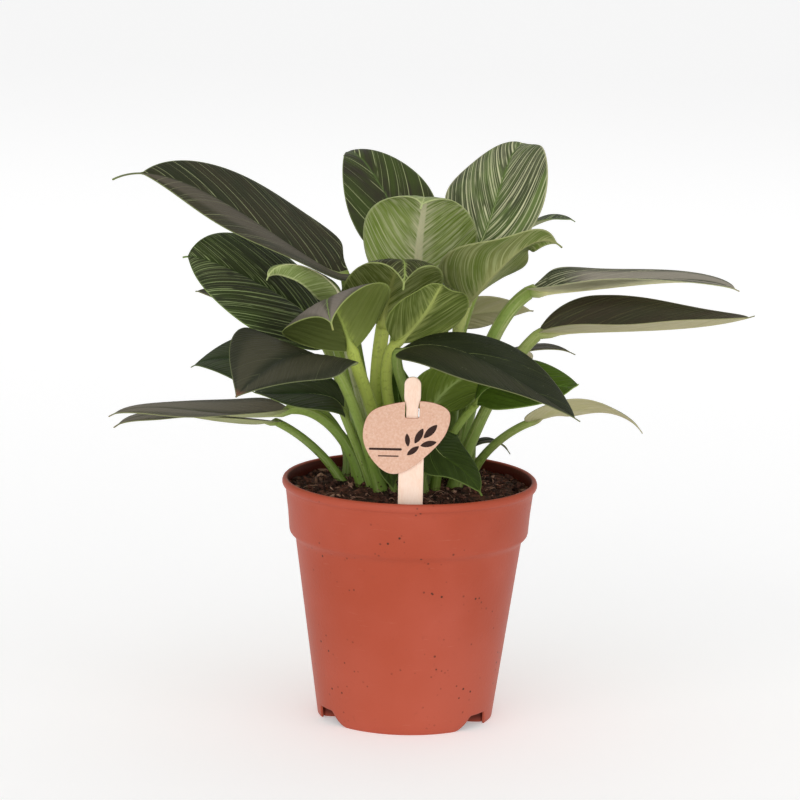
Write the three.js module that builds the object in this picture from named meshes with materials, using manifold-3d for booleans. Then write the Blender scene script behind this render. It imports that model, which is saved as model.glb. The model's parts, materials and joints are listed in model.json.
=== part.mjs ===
// A birkin philodendron in its nursery pot: a filled plastic pot, a clump of striped leaves on their
// stalks, a wooden plant stick and a card tag. Millimetres, +Z up, -Y is the front. The shapes are drawn
// round the pot's axis and then moved, so that the origin lies under the middle of the whole plant.
import * as THREE from 'three';
import { mergeVertices } from 'three/addons/utils/BufferGeometryUtils.js';
import Module from 'manifold-3d';

const wasm = await Module();
wasm.setup();

// Where the pot's axis stands, with the middle of the plant's box over the origin
const POT_AXIS = { x: -8, y: -11.6 };

// Gap kept between pieces that touch
const GAP = 0.3;

// Pot
const POT_SIDES = 40;
const POT_HEIGHT = 114;
const RIM_RADIUS = 60;
const BAND_TOP_RADIUS = 58.4;
const BAND_FOOT_RADIUS = 56.2;
const BAND_FOOT_HEIGHT = 87;
const STEP_RADIUS = 53.2;
const STEP_HEIGHT = 84.6;
const FOOT_RADIUS = 41.4;
const FOOT_ROUNDING = 0.3;
const WALL = 1.3;
const LIP_HEIGHT = 4.4;
const FLOOR_UNDERSIDE = 8.6;
const FLOOR_THICKNESS = 1.4;

// Notches in the foot, between its three feet
const NOTCH_ANGLES = [-60, 60, 180];
const NOTCH_TOP_WIDTH = 17;
const NOTCH_FOOT_WIDTH = 28;
const NOTCH_HEIGHT = 8;
const NOTCH_ROUNDING = 3;

// Soil
const SOIL_SIDES = 30;
const SOIL_EDGE_HEIGHT = 109;
const SOIL_MIDDLE_HEIGHT = 113;
const CRUMB_COUNT = 16;
const CRUMB_RADIUS = [1.3, 2.7];
const CRUMB_FIELD_RADIUS = 50;
const CRUMB_SEED = 7;

// Wooden stick
const STICK_Y = -51;
const STICK_THICKNESS = 1.8;
const STICK_WIDTH = 11.4;
const STICK_BOTTOM = 96;
const STICK_SHOULDER = 150;
const STICK_CENTRE_X = 0.3;
const NECK_WIDTH = 5.6;
const NECK_TOP = 160.5;
const HEAD_WIDTH = 7.6;
const HEAD_TOP = 171.8;

// Card tag, in front of the stick, with an open slot round the stick's neck
const TAG_THICKNESS = 0.9;
const TAG_SLOT_WIDTH = 6.6;
const TAG_SLOT_BOTTOM = 152.9;
const TAG_OUTLINE = [
  [-22, 144.4],
  [-18.5, 155.4],
  [-6, 160],
  [8, 160.6],
  [17, 156.4],
  [16.4, 147.5],
  [10.6, 139],
  [-1, 129],
  [-10, 127.2],
  [-18, 134],
];

// Leaves
const MARGIN_HALF_THICKNESS = 0.35;
const RIB_DEPTH = 0.9;
const TIP_HALF_WIDTH = 0.45;
const WAVE_HEIGHT = 0.6;
const WAVE_COUNT = 1.6;
const WAVE_SIDE_SHIFT = 0.3;
const STALK_SIDES = 6;
const STALK_STEPS = 7;
const STALK_RUN_INTO_BLADE = 0.05;
const LARGE_BLADE = { rows: 10, columns: [-1, -0.6, -0.14, 0, 0.14, 0.6, 1] };
const SMALL_BLADE = { rows: 8, columns: [-1, -0.5, 0, 0.5, 1] };
const LARGE_BLADE_WIDTH = 40;

// One short stem of the clump, among the leaf stalks at the left
const STEM = {
  points: [[-22, 4, 100], [-23, 4, 112], [-25, 4, 124], [-28, 4, 134]],
  radius: 4.8,
  sides: 10,
  steps: 7,
};

// Each leaf: rib is four points along its midrib, side the direction across it at its base and tip, width
// its full width, fold and curl (degrees, base and tip) the rise and the bending of each half, and stalk
// the root in the soil with the two handles of the curve up to the blade.
const LEAVES = [
  {
    name: 'leaf_upper_left',
    rib: [[-32, -4, 211], [-59, -7, 225], [-100, -17, 251], [-137, -50, 259]],
    side: [[-0.39, 0.86, 0.34], [-0.63, 0.23, 0.74]],
    width: 64,
    fold: { left: [21, 1], right: [20, 13] },
    curl: { left: [-4, -25], right: [-6, -13] },
    shape: { widest: 0.33, base: 0.54, tip: 1, lobe: 2, tail: 0.12 },
    stalk: [[-11, 16, 103], [-18, 16, 130], [-29, 2, 185]],
    stalkRadius: 2.4,
  },
  {
    name: 'leaf_left_broad',
    rib: [[-38, 0, 180], [-57, -5, 197], [-86, -14, 214], [-107, -17, 219]],
    side: [[-0.16, 0.79, 0.59], [-0.31, 0.71, 0.63]],
    width: 60,
    fold: { left: [11, 2], right: [8, 9] },
    curl: { left: [-26, -26], right: [-16, -10] },
    shape: { widest: 0.5, base: 0.42, tip: 0.81, lobe: 2, tail: 0.06 },
    stalk: [[-21, 14, 103], [-24, 12, 140], [-32, 6, 170]],
    stalkRadius: 2.4,
  },
  {
    name: 'leaf_left_rolled',
    rib: [[-33, -24, 202], [-42, -29, 214], [-57, -36, 220], [-67, -46, 214]],
    side: [[0.63, 0.74, 0.23], [-0.98, 0.03, 0.18]],
    width: 20,
    fold: { left: [-33, -40], right: [-30, -27] },
    curl: { left: [-27, -35], right: [-24, -22] },
    shape: { widest: 0.27, base: 0.4, tip: 0.8, lobe: 2, tail: 0.03 },
    stalk: [[-13, 5, 103], [-18, 4, 140], [-34, -16, 180]],
    stalkRadius: 2.1,
  },
  {
    name: 'leaf_left_behind',
    rib: [[-45, 32, 175], [-64, 32, 185], [-88, 36, 192], [-104, 39, 194]],
    side: [[-0.12, 0.99, 0.11], [0.37, 0.9, 0.25]],
    width: 22,
    fold: { left: [13, 10], right: [11, 14] },
    curl: { left: [-7, -10], right: [-9, -6] },
    shape: { widest: 0.42, base: 0.6, tip: 0.96, lobe: 2, tail: 0.03 },
    stalk: [[-18, 22, 103], [-24, 17, 116], [-35, 34, 166]],
    stalkRadius: 2.2,
  },
  {
    name: 'leaf_front_folded',
    rib: [[-28, -22, 178], [-35, -35, 198], [-39, -58, 208], [-36, -77, 197]],
    side: [[-0.91, -0.18, -0.38], [-0.86, 0.26, -0.44]],
    width: 54,
    fold: { left: [9, 3], right: [6, -1] },
    curl: { left: [-18, -24], right: [-22, -27] },
    shape: { widest: 0.45, base: 0.7, tip: 1.3, lobe: 0, tail: 0.03 },
    stalk: [[-8, -3, 103], [-12, -5, 135], [-24, -16, 163]],
    stalkRadius: 2.9,
  },
  {
    name: 'leaf_centre_hood',
    rib: [[-14, 4, 186], [-11, -11, 206], [-6, -38, 223], [-5, -48, 211]],
    side: [[-0.97, -0.23, 0.09], [-0.98, -0.18, -0.01]],
    width: 48,
    fold: { left: [12, 9], right: [12, 11] },
    curl: { left: [-36, -39], right: [-35, -37] },
    shape: { widest: 0.36, base: 0.6, tip: 1, lobe: 0, tail: 0.03 },
    stalk: [[-5, 10, 103], [-21, 6, 133], [-16, 3, 171]],
    stalkRadius: 3.3,
  },
  {
    name: 'leaf_top_young',
    rib: [[4, 36, 201], [2, 19, 221], [4, -2, 244], [2, -25, 245]],
    side: [[-0.85, 0.26, -0.45], [-0.97, 0.21, 0.08]],
    width: 54,
    fold: { left: [6, 5], right: [4, 10] },
    curl: { left: [-18, -19], right: [-20, -14] },
    shape: { widest: 0.44, base: 0.48, tip: 1.13, lobe: 0, tail: 0.03 },
    stalk: [[4, 17, 103], [15, 20, 140], [12, 36, 180]],
    stalkRadius: 2.5,
  },
  {
    name: 'leaf_top_left',
    rib: [[-3, 37, 220], [-9, 43, 232], [-23, 57, 253], [-35, 75, 256]],
    side: [[0.85, -0.31, -0.43], [0.8, 0.53, 0.29]],
    width: 42,
    fold: { left: [4, 11], right: [6, 10] },
    curl: { left: [-14, -13], right: [-13, -13] },
    shape: { widest: 0.43, base: 0.41, tip: 1.28, lobe: 2, tail: 0.03 },
    stalk: [[-8, 24, 103], [-10, 22, 140], [-9, 42, 205]],
    stalkRadius: 2.3,
  },
  {
    name: 'leaf_top_right',
    rib: [[29, 37, 217], [37, 45, 235], [44, 62, 255], [52, 74, 264]],
    side: [[0.62, -0.41, -0.66], [0.28, -0.95, -0.15]],
    width: 52,
    fold: { left: [12, 5], right: [11, 12] },
    curl: { left: [-10, -12], right: [-11, -6] },
    shape: { widest: 0.49, base: 0.57, tip: 0.64, lobe: 2, tail: 0.03 },
    stalk: [[10, 21, 103], [27, 3, 122], [15, 42, 202]],
    stalkRadius: 2.5,
  },
  {
    name: 'leaf_right_slim',
    rib: [[37, 48, 210], [51, 51, 224], [66, 58, 230], [77, 63, 228]],
    side: [[-0.38, -0.92, 0.11], [0.04, -1, -0.08]],
    width: 26,
    fold: { left: [10, 10], right: [10, 11] },
    curl: { left: [-15, -15], right: [-15, -14] },
    shape: { widest: 0.4, base: 0.6, tip: 1.15, lobe: 2, tail: 0.03 },
    stalk: [[15, 25, 103], [14, 22, 145], [24, 46, 194]],
    stalkRadius: 2.2,
  },
  {
    name: 'leaf_right_arching',
    rib: [[25, 6, 197], [34, -9, 209], [50, -17, 227], [68, -7, 226]],
    side: [[-0.97, -0.23, -0.07], [0.85, -0.3, 0.44]],
    width: 50,
    fold: { left: [48, -7], right: [37, 17] },
    curl: { left: [13, -41], right: [3, -17] },
    shape: { widest: 0.43, base: 0.43, tip: 1.44, lobe: 0, tail: 0.03 },
    stalk: [[10, 12, 103], [12, 6, 140], [21, 12, 186]],
    stalkRadius: 2.5,
  },
  {
    name: 'leaf_centre_low',
    rib: [[-8, -14, 180], [4, -26, 195], [10, -32, 207], [13, -36, 212]],
    side: [[-0.74, -0.55, 0.38], [-0.5, -0.7, 0.5]],
    width: 40,
    fold: { left: [15, 2], right: [8, 1] },
    curl: { left: [-22, -38], right: [-20, -27] },
    shape: { widest: 0.4, base: 0.62, tip: 0.52, lobe: -2, tail: 0.03 },
    stalk: [[0, 2, 103], [-8, -5, 140], [-18, -8, 168]],
    stalkRadius: 2.6,
  },
  {
    name: 'leaf_right_upper',
    rib: [[56, 15, 202], [84, 12, 204], [122, 12, 208], [151, -5, 207]],
    side: [[-0.5, -0.86, -0.11], [-0.84, -0.53, 0.07]],
    width: 52,
    fold: { left: [25, 14], right: [26, 10] },
    curl: { left: [-7, -17], right: [-6, -22] },
    shape: { widest: 0.35, base: 0.59, tip: 0.92, lobe: 2, tail: 0.03 },
    stalk: [[19, 9, 103], [26, 8, 140], [33, 12, 190]],
    stalkRadius: 3.2,
  },
  {
    name: 'leaf_right_lower',
    rib: [[59, -10, 186], [91, -11, 188], [126, -15, 191], [156, -32, 200]],
    side: [[-0.12, -0.98, -0.13], [-0.71, -0.7, -0.07]],
    width: 50,
    fold: { left: [32, 28], right: [30, 27] },
    curl: { left: [-8, -12], right: [-10, -13] },
    shape: { widest: 0.29, base: 0.7, tip: 0.82, lobe: 1, tail: 0.03 },
    stalk: [[19, -8, 103], [24, -8, 128], [42, -9, 172]],
    stalkRadius: 2.6,
  },
  {
    name: 'leaf_right_narrow',
    rib: [[28, 39, 158], [46, 43, 166], [62, 44, 170], [78, 41, 167]],
    side: [[0.23, -0.97, 0.02], [-0.32, -0.95, -0.02]],
    width: 24,
    fold: { left: [8, 8], right: [7, 8] },
    curl: { left: [-15, -15], right: [-16, -15] },
    shape: { widest: 0.4, base: 0.6, tip: 1.18, lobe: 2, tail: 0.03 },
    stalk: [[25, 25, 103], [36, 54, 130], [19, 36, 153]],
    stalkRadius: 2.2,
  },
  {
    name: 'leaf_front_right',
    rib: [[-7, -30, 179], [19, -45, 184], [48, -61, 173], [75, -87, 160]],
    side: [[-0.43, -0.86, -0.29], [-0.78, -0.61, 0.13]],
    width: 52,
    fold: { left: [7, 9], right: [4, 15] },
    curl: { left: [-21, -15], right: [-24, -9] },
    shape: { widest: 0.46, base: 0.68, tip: 0.92, lobe: 1, tail: 0.03 },
    stalk: [[8, -6, 103], [5, -12, 148], [-10, -27, 170]],
    stalkRadius: 2.4,
  },
  {
    name: 'leaf_front_right_under',
    rib: [[30, -12, 152], [43, -26, 165], [64, -34, 166], [76, -40, 168]],
    side: [[0.35, -0.71, -0.61], [-0.83, -0.51, -0.23]],
    width: 32,
    fold: { left: [3, 6], right: [5, 2] },
    curl: { left: [-16, -12], right: [-14, -16] },
    shape: { widest: 0.47, base: 0.77, tip: 1.05, lobe: 0, tail: 0.03 },
    stalk: [[11, -14, 103], [12, -20, 130], [20, -17, 142]],
    stalkRadius: 1.8,
  },
  {
    name: 'leaf_low_right',
    rib: [[58, 11, 140], [73, 4, 147], [93, 6, 147], [109, 3, 137]],
    side: [[-0.86, -0.5, 0.07], [-0.07, -0.87, 0.49]],
    width: 34,
    fold: { left: [14, 5], right: [9, 2] },
    curl: { left: [-6, -15], right: [-11, -18] },
    shape: { widest: 0.4, base: 0.57, tip: 1.15, lobe: 2, tail: 0.03 },
    stalk: [[28, 22, 103], [28, 22, 118], [45, 14, 135]],
    stalkRadius: 1.9,
  },
  {
    name: 'leaf_low_right_small',
    rib: [[29, 29, 123], [35, 31, 126], [42, 33, 125], [48, 35, 119]],
    side: [[0.25, -0.97, 0], [0.29, -0.96, 0]],
    width: 12,
    fold: { left: [8, 8], right: [8, 8] },
    curl: { left: [-12, -12], right: [-12, -12] },
    shape: { widest: 0.4, base: 0.6, tip: 1.15, lobe: 2, tail: 0.03 },
    stalk: [[33, 28, 103], [27, 24, 121], [22, 28, 122]],
    stalkRadius: 1.3,
  },
  {
    name: 'leaf_front_left',
    rib: [[-37, -37, 174], [-48, -54, 182], [-62, -69, 180], [-78, -99, 170]],
    side: [[-0.84, 0.52, 0.15], [-0.96, 0.27, 0.12]],
    width: 63,
    fold: { left: [10, 8], right: [5, 15] },
    curl: { left: [-10, -14], right: [-12, -7] },
    shape: { widest: 0.45, base: 0.72, tip: 1.05, lobe: 2, tail: 0 },
    stalk: [[-11, -19, 103], [-18, -22, 130], [-30, -31, 166]],
    stalkRadius: 2.4,
  },
  {
    name: 'leaf_left_shaded',
    rib: [[-53, 12, 152], [-68, 7, 164], [-87, 5, 168], [-104, 8, 163]],
    side: [[-0.07, 0.92, 0.4], [0.16, 0.92, 0.35]],
    width: 46,
    fold: { left: [7, 7], right: [9, 7] },
    curl: { left: [-13, -13], right: [-11, -13] },
    shape: { widest: 0.39, base: 0.6, tip: 1.13, lobe: 2, tail: 0.03 },
    stalk: [[-32, 14, 103], [-21, 19, 129], [-47, 16, 146]],
    stalkRadius: 1.9,
  },
  {
    name: 'leaf_front_left_under',
    rib: [[-32, -14, 148], [-42, -22, 157], [-60, -28, 158], [-73, -38, 161]],
    side: [[0.05, 0.83, 0.56], [-0.81, 0.53, 0.24]],
    width: 32,
    fold: { left: [16, 10], right: [9, 7] },
    curl: { left: [-5, -10], right: [-12, -13] },
    shape: { widest: 0.43, base: 0.59, tip: 1.13, lobe: 2, tail: 0.03 },
    stalk: [[-14, -12, 103], [-22, -14, 125], [-29, -14, 140]],
    stalkRadius: 1.9,
  },
  {
    name: 'leaf_low_left_outer',
    rib: [[-57, -8, 147], [-84, -10, 144], [-115, -12, 147], [-140, -24, 145]],
    side: [[-0.21, 0.98, -0.01], [-0.76, 0.65, 0.09]],
    width: 48,
    fold: { left: [21, -2], right: [18, -1] },
    curl: { left: [1, -22], right: [-2, -21] },
    shape: { widest: 0.3, base: 0.6, tip: 1.18, lobe: 0, tail: 0.03 },
    stalk: [[-20, -7, 103], [-24, -8, 131], [-42, -8, 150]],
    stalkRadius: 2.5,
  },
  {
    name: 'leaf_low_left_inner',
    rib: [[-64, 12, 137], [-86, 9, 139], [-116, 10, 140], [-139, -5, 136]],
    side: [[-0.65, 0.75, -0.14], [-0.88, 0.47, 0.01]],
    width: 38,
    fold: { left: [6, 3], right: [2, 1] },
    curl: { left: [-12, -15], right: [-16, -17] },
    shape: { widest: 0.4, base: 0.6, tip: 1.2, lobe: 2, tail: 0.03 },
    stalk: [[-29, 4, 103], [-33, 5, 117], [-50, 8, 132]],
    stalkRadius: 1.9,
  },
  {
    name: 'leaf_front_behind_tag',
    rib: [[9, -32, 146], [13, -36, 134], [22, -39, 128], [33, -50, 117]],
    side: [[-0.94, -0.32, 0.06], [-0.87, -0.46, -0.18]],
    width: 27,
    fold: { left: [6, 6], right: [7, 6] },
    curl: { left: [-14, -15], right: [-13, -14] },
    shape: { widest: 0.31, base: 0.54, tip: 0.72, lobe: 2, tail: 0.03 },
    stalk: [[8, -20, 103], [0, -18, 142], [8, -29, 153]],
    stalkRadius: 1.8,
  },
  {
    name: 'leaf_front_drooping',
    rib: [[-11, -30, 132], [-10, -34, 127], [-9, -38, 122], [-7, -42, 116]],
    side: [[-0.99, -0.15, -0.04], [-0.96, -0.23, -0.18]],
    width: 10,
    fold: { left: [8, 8], right: [8, 8] },
    curl: { left: [-12, -12], right: [-12, -12] },
    shape: { widest: 0.4, base: 0.6, tip: 1.15, lobe: 0, tail: 0.03 },
    stalk: [[-4, -18, 103], [-16, -27, 138], [-12, -26, 137]],
    stalkRadius: 1.3,
  },
  {
    name: 'leaf_centre_sheath',
    rib: [[-4, 6, 140], [-6, 5, 151], [-7, 3, 161], [-7, 1, 172]],
    side: [[0.93, 0.37, 0.05], [0.85, 0.43, 0.29]],
    width: 16,
    fold: { left: [20, 20], right: [20, 20] },
    curl: { left: [10, 10], right: [10, 10] },
    shape: { widest: 0.4, base: 0.6, tip: 1.15, lobe: 0, tail: 0.03 },
    stalk: [[3, 9, 103], [1, 9, 118], [-3, 7, 130]],
    stalkRadius: 2,
  },
  {
    name: 'leaf_centre_right',
    rib: [[8, -5, 146], [14, -9, 156], [23, -14, 165], [32, -20, 170]],
    side: [[-0.81, -0.41, 0.42], [-0.69, -0.51, 0.51]],
    width: 33,
    fold: { left: [8, 8], right: [8, 8] },
    curl: { left: [-12, -12], right: [-12, -12] },
    shape: { widest: 0.4, base: 0.6, tip: 1.15, lobe: 0, tail: 0.03 },
    stalk: [[13, 2, 103], [9, -2, 128], [4, -2, 140]],
    stalkRadius: 2.4,
  },
  {
    name: 'leaf_right_pale',
    rib: [[14, 48, 181], [29, 52, 184], [45, 57, 185], [58, 63, 184]],
    side: [[0.1, -0.5, 0.86], [0.15, -0.7, 0.68]],
    width: 22,
    fold: { left: [9, 5], right: [9, 6] },
    curl: { left: [-11, -15], right: [-11, -14] },
    shape: { widest: 0.4, base: 0.6, tip: 1.16, lobe: 2, tail: 0.03 },
    stalk: [[9, 30, 103], [9, 39, 123], [18, 44, 168]],
    stalkRadius: 2.2,
  },
  {
    name: 'leaf_back_high',
    rib: [[-5, 52, 187], [-4, 78, 193], [0, 102, 187], [4, 122, 172]],
    side: [[1, 0.02, 0], [0.99, -0.11, 0]],
    width: 44,
    fold: { left: [10, 10], right: [10, 10] },
    curl: { left: [-14, -14], right: [-14, -14] },
    shape: { widest: 0.4, base: 0.6, tip: 1.15, lobe: 2, tail: 0.03 },
    stalk: [[-2, 36, 103], [-10, 38, 135], [-11, 46, 178]],
    stalkRadius: 2.4,
  },
  {
    name: 'leaf_back_left',
    rib: [[-36, 44, 176], [-53, 62, 187], [-71, 80, 189], [-86, 94, 179]],
    side: [[0.71, 0.7, 0], [0.63, 0.77, 0]],
    width: 34,
    fold: { left: [10, 10], right: [10, 10] },
    curl: { left: [-14, -14], right: [-14, -14] },
    shape: { widest: 0.4, base: 0.6, tip: 1.15, lobe: 2, tail: 0.03 },
    stalk: [[-12, 28, 103], [-32, 36, 135], [-28, 36, 168]],
    stalkRadius: 2.4,
  },
  {
    name: 'leaf_back_right',
    rib: [[31, 54, 160], [40, 74, 162], [48, 92, 155], [55, 106, 144]],
    side: [[0.92, -0.4, 0], [0.91, -0.42, 0]],
    width: 34,
    fold: { left: [10, 10], right: [10, 10] },
    curl: { left: [-14, -14], right: [-14, -14] },
    shape: { widest: 0.4, base: 0.6, tip: 1.15, lobe: 2, tail: 0.03 },
    stalk: [[20, 36, 103], [22, 59, 122], [27, 45, 156]],
    stalkRadius: 2.4,
  },
  {
    name: 'leaf_back_low',
    rib: [[-12, 46, 126], [-13, 68, 132], [-13, 90, 125], [-12, 106, 112]],
    side: [[1, 0.09, 0], [0.99, -0.16, 0]],
    width: 34,
    fold: { left: [10, 10], right: [10, 10] },
    curl: { left: [-14, -14], right: [-14, -14] },
    shape: { widest: 0.4, base: 0.6, tip: 1.15, lobe: 2, tail: 0.03 },
    stalk: [[-11, 36, 103], [-12, 40, 129], [-12, 42, 124]],
    stalkRadius: 1.9,
  },
];

// Leaf colours by age: dark old leaves, fresh green ones and young pale ones
const LEAF_COLOURS = { dark: 0x36431f, fresh: 0x4d6b2a, young: 0x7a9048 };
const FRESH_LEAVES = [
  'leaf_centre_hood', 'leaf_top_right', 'leaf_right_arching', 'leaf_centre_low', 'leaf_front_behind_tag',
  'leaf_front_drooping', 'leaf_centre_right', 'leaf_front_left_under', 'leaf_front_right_under',
];
const YOUNG_LEAVES = ['leaf_top_young', 'leaf_left_rolled', 'leaf_centre_sheath', 'leaf_right_pale'];

const vector = (point) => new THREE.Vector3(...point);
const radians = THREE.MathUtils.degToRad;

// Joining and cutting
function toSolid(geometry) {
  const bare = new THREE.BufferGeometry();
  bare.setAttribute('position', geometry.getAttribute('position').clone());
  if (geometry.index) {
    bare.setIndex(geometry.index.clone());
  }
  const merged = mergeVertices(bare, 1e-4);
  const vertProperties = new Float32Array(merged.getAttribute('position').array);
  const triVerts = new Uint32Array(merged.index.array);
  return new wasm.Manifold(new wasm.Mesh({ numProp: 3, vertProperties, triVerts }));
}

function toGeometry(solid) {
  const mesh = solid.getMesh();
  const geometry = new THREE.BufferGeometry();
  geometry.setAttribute('position', new THREE.BufferAttribute(new Float32Array(mesh.vertProperties), 3));
  geometry.setIndex(new THREE.BufferAttribute(new Uint32Array(mesh.triVerts), 1));
  geometry.computeVertexNormals();
  return geometry;
}

function largestBody(solid) {
  const bodies = solid.decompose();
  return bodies.reduce((best, body) => (body.volume() > best.volume() ? body : best));
}

// Shapes shared by several pieces
function turnedProfile(points, sides) {
  const lathe = new THREE.LatheGeometry(points.map(([radius, z]) => new THREE.Vector2(radius, z)), sides);
  lathe.rotateX(Math.PI / 2);
  return lathe;
}

function tubeAlong(curve, radius, sides, steps) {
  const section = new THREE.Shape();
  for (let corner = 0; corner < sides; corner += 1) {
    const angle = (2 * Math.PI * corner) / sides;
    const place = [radius * Math.cos(angle), radius * Math.sin(angle)];
    if (corner === 0) {
      section.moveTo(...place);
    } else {
      section.lineTo(...place);
    }
  }
  section.closePath();
  return new THREE.ExtrudeGeometry(section, { steps, bevelEnabled: false, extrudePath: curve });
}

// A cubic curve that passes through four points at thirds of its run
function curveThrough(points) {
  const [start, first, second, end] = points.map(vector);
  const startHandle = first.clone().multiplyScalar(18).addScaledVector(start, -5)
    .addScaledVector(second, -9).addScaledVector(end, 2).divideScalar(6);
  const endHandle = second.clone().multiplyScalar(18).addScaledVector(end, -5)
    .addScaledVector(first, -9).addScaledVector(start, 2).divideScalar(6);
  return new THREE.CubicBezierCurve3(start, startHandle, endHandle, end);
}

// Pot
function potOuterProfile() {
  return [
    [FOOT_RADIUS - FOOT_ROUNDING, 0],
    [FOOT_RADIUS, FOOT_ROUNDING],
    [STEP_RADIUS, STEP_HEIGHT],
    [BAND_FOOT_RADIUS, BAND_FOOT_HEIGHT],
    [BAND_TOP_RADIUS, POT_HEIGHT - LIP_HEIGHT],
    [RIM_RADIUS, POT_HEIGHT - LIP_HEIGHT + 1.2],
    [RIM_RADIUS, POT_HEIGHT - 1.2],
    [RIM_RADIUS - 1.2, POT_HEIGHT],
  ];
}

function potInnerProfile() {
  const floorTop = FLOOR_UNDERSIDE + FLOOR_THICKNESS;
  return [
    [BAND_TOP_RADIUS - WALL + 0.4, POT_HEIGHT - 0.6],
    [BAND_TOP_RADIUS - WALL, POT_HEIGHT - LIP_HEIGHT],
    [BAND_FOOT_RADIUS - WALL, BAND_FOOT_HEIGHT],
    [STEP_RADIUS - WALL, STEP_HEIGHT],
    [innerRadiusAt(floorTop), floorTop],
  ];
}

function innerRadiusAt(height) {
  const rise = (height - FOOT_ROUNDING) / (STEP_HEIGHT - FOOT_ROUNDING);
  return FOOT_RADIUS + (STEP_RADIUS - FOOT_RADIUS) * rise - WALL;
}

function footNotch(angle) {
  const outline = new THREE.Shape();
  const below = -1;
  outline.moveTo(-NOTCH_FOOT_WIDTH / 2, below);
  outline.lineTo(-NOTCH_FOOT_WIDTH / 2, 0);
  outline.quadraticCurveTo(
    -NOTCH_TOP_WIDTH / 2 - NOTCH_ROUNDING, 0, -NOTCH_TOP_WIDTH / 2, NOTCH_HEIGHT - NOTCH_ROUNDING);
  outline.lineTo(-NOTCH_TOP_WIDTH / 2 + NOTCH_ROUNDING, NOTCH_HEIGHT);
  outline.lineTo(NOTCH_TOP_WIDTH / 2 - NOTCH_ROUNDING, NOTCH_HEIGHT);
  outline.lineTo(NOTCH_TOP_WIDTH / 2, NOTCH_HEIGHT - NOTCH_ROUNDING);
  outline.quadraticCurveTo(
    NOTCH_TOP_WIDTH / 2 + NOTCH_ROUNDING, 0, NOTCH_FOOT_WIDTH / 2, 0);
  outline.lineTo(NOTCH_FOOT_WIDTH / 2, below);
  outline.closePath();
  const depth = FOOT_RADIUS;
  const cutter = new THREE.ExtrudeGeometry(outline, { depth, bevelEnabled: false, curveSegments: 4 });
  cutter.rotateX(Math.PI / 2);
  cutter.translate(0, -depth / 2, 0);
  cutter.rotateZ(radians(angle));
  return cutter;
}

function makePot() {
  const profile = [
    [0, FLOOR_UNDERSIDE],
    [innerRadiusAt(FLOOR_UNDERSIDE), FLOOR_UNDERSIDE],
    [FOOT_RADIUS - WALL, 0],
    ...potOuterProfile(),
    ...potInnerProfile(),
    [0, FLOOR_UNDERSIDE + FLOOR_THICKNESS],
  ];
  let pot = toSolid(turnedProfile(profile, POT_SIDES));
  for (const angle of NOTCH_ANGLES) {
    pot = pot.subtract(toSolid(footNotch(angle)));
  }
  return toGeometry(pot);
}

// Leaves
function blendedPair(pair, t) {
  return pair[0] + (pair[1] - pair[0]) * t;
}

function halfWidthAt(leaf, t) {
  const { widest, base, tip, tail } = leaf.shape;
  const run = Math.min(t / (1 - tail), 1);
  const swell = run < widest
    ? Math.sin((Math.PI / 2) * (run / widest)) ** base
    : Math.max(Math.cos((Math.PI / 2) * ((run - widest) / (1 - widest))), 0) ** tip;
  return Math.max((leaf.width / 2) * swell, TIP_HALF_WIDTH);
}

function bladeFrame(leaf, t) {
  const tangent = leaf.ribCurve.getTangent(t);
  const sideStart = vector(leaf.side[0]).normalize();
  const sideEnd = vector(leaf.side[1]).normalize();
  const side = sideStart.lerp(sideEnd, t).normalize();
  side.addScaledVector(tangent, -side.dot(tangent)).normalize();
  return { middle: leaf.ribCurve.getPoint(t), tangent, side, up: side.clone().cross(tangent) };
}

// A point of the blade and its upward direction; across runs from -1 at one margin to 1 at the other
function bladePoint(leaf, t, across) {
  const frame = bladeFrame(leaf, t);
  const sign = Math.sign(across);
  const reach = Math.abs(across);
  const half = across < 0 ? 'left' : 'right';
  const fold = radians(blendedPair(leaf.fold[half], t));
  const curl = radians(blendedPair(leaf.curl[half], t)) || 1e-3;
  const width = halfWidthAt(leaf, t);
  const angle = fold + curl * reach;
  const outward = (width * (Math.sin(angle) - Math.sin(fold))) / curl;
  let rise = (width * (Math.cos(fold) - Math.cos(angle))) / curl;
  const phase = WAVE_COUNT * t + WAVE_SIDE_SHIFT * sign + leaf.wavePhase;
  const swell = width / (leaf.width / 2);
  const waveHeight = WAVE_HEIGHT * Math.min(leaf.width / LARGE_BLADE_WIDTH, 1) * swell;
  rise += waveHeight * reach ** 2 * Math.sin(2 * Math.PI * phase);
  const sweep = -leaf.shape.lobe * reach ** 2 * Math.max(1 - 2.2 * t, 0) ** 2;
  const point = frame.middle.addScaledVector(frame.side, sign * outward)
    .addScaledVector(frame.up, rise).addScaledVector(frame.tangent, sweep);
  const up = frame.up.clone().multiplyScalar(Math.cos(angle))
    .addScaledVector(frame.side, -sign * Math.sin(angle)).normalize();
  return { point, up };
}

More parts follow.
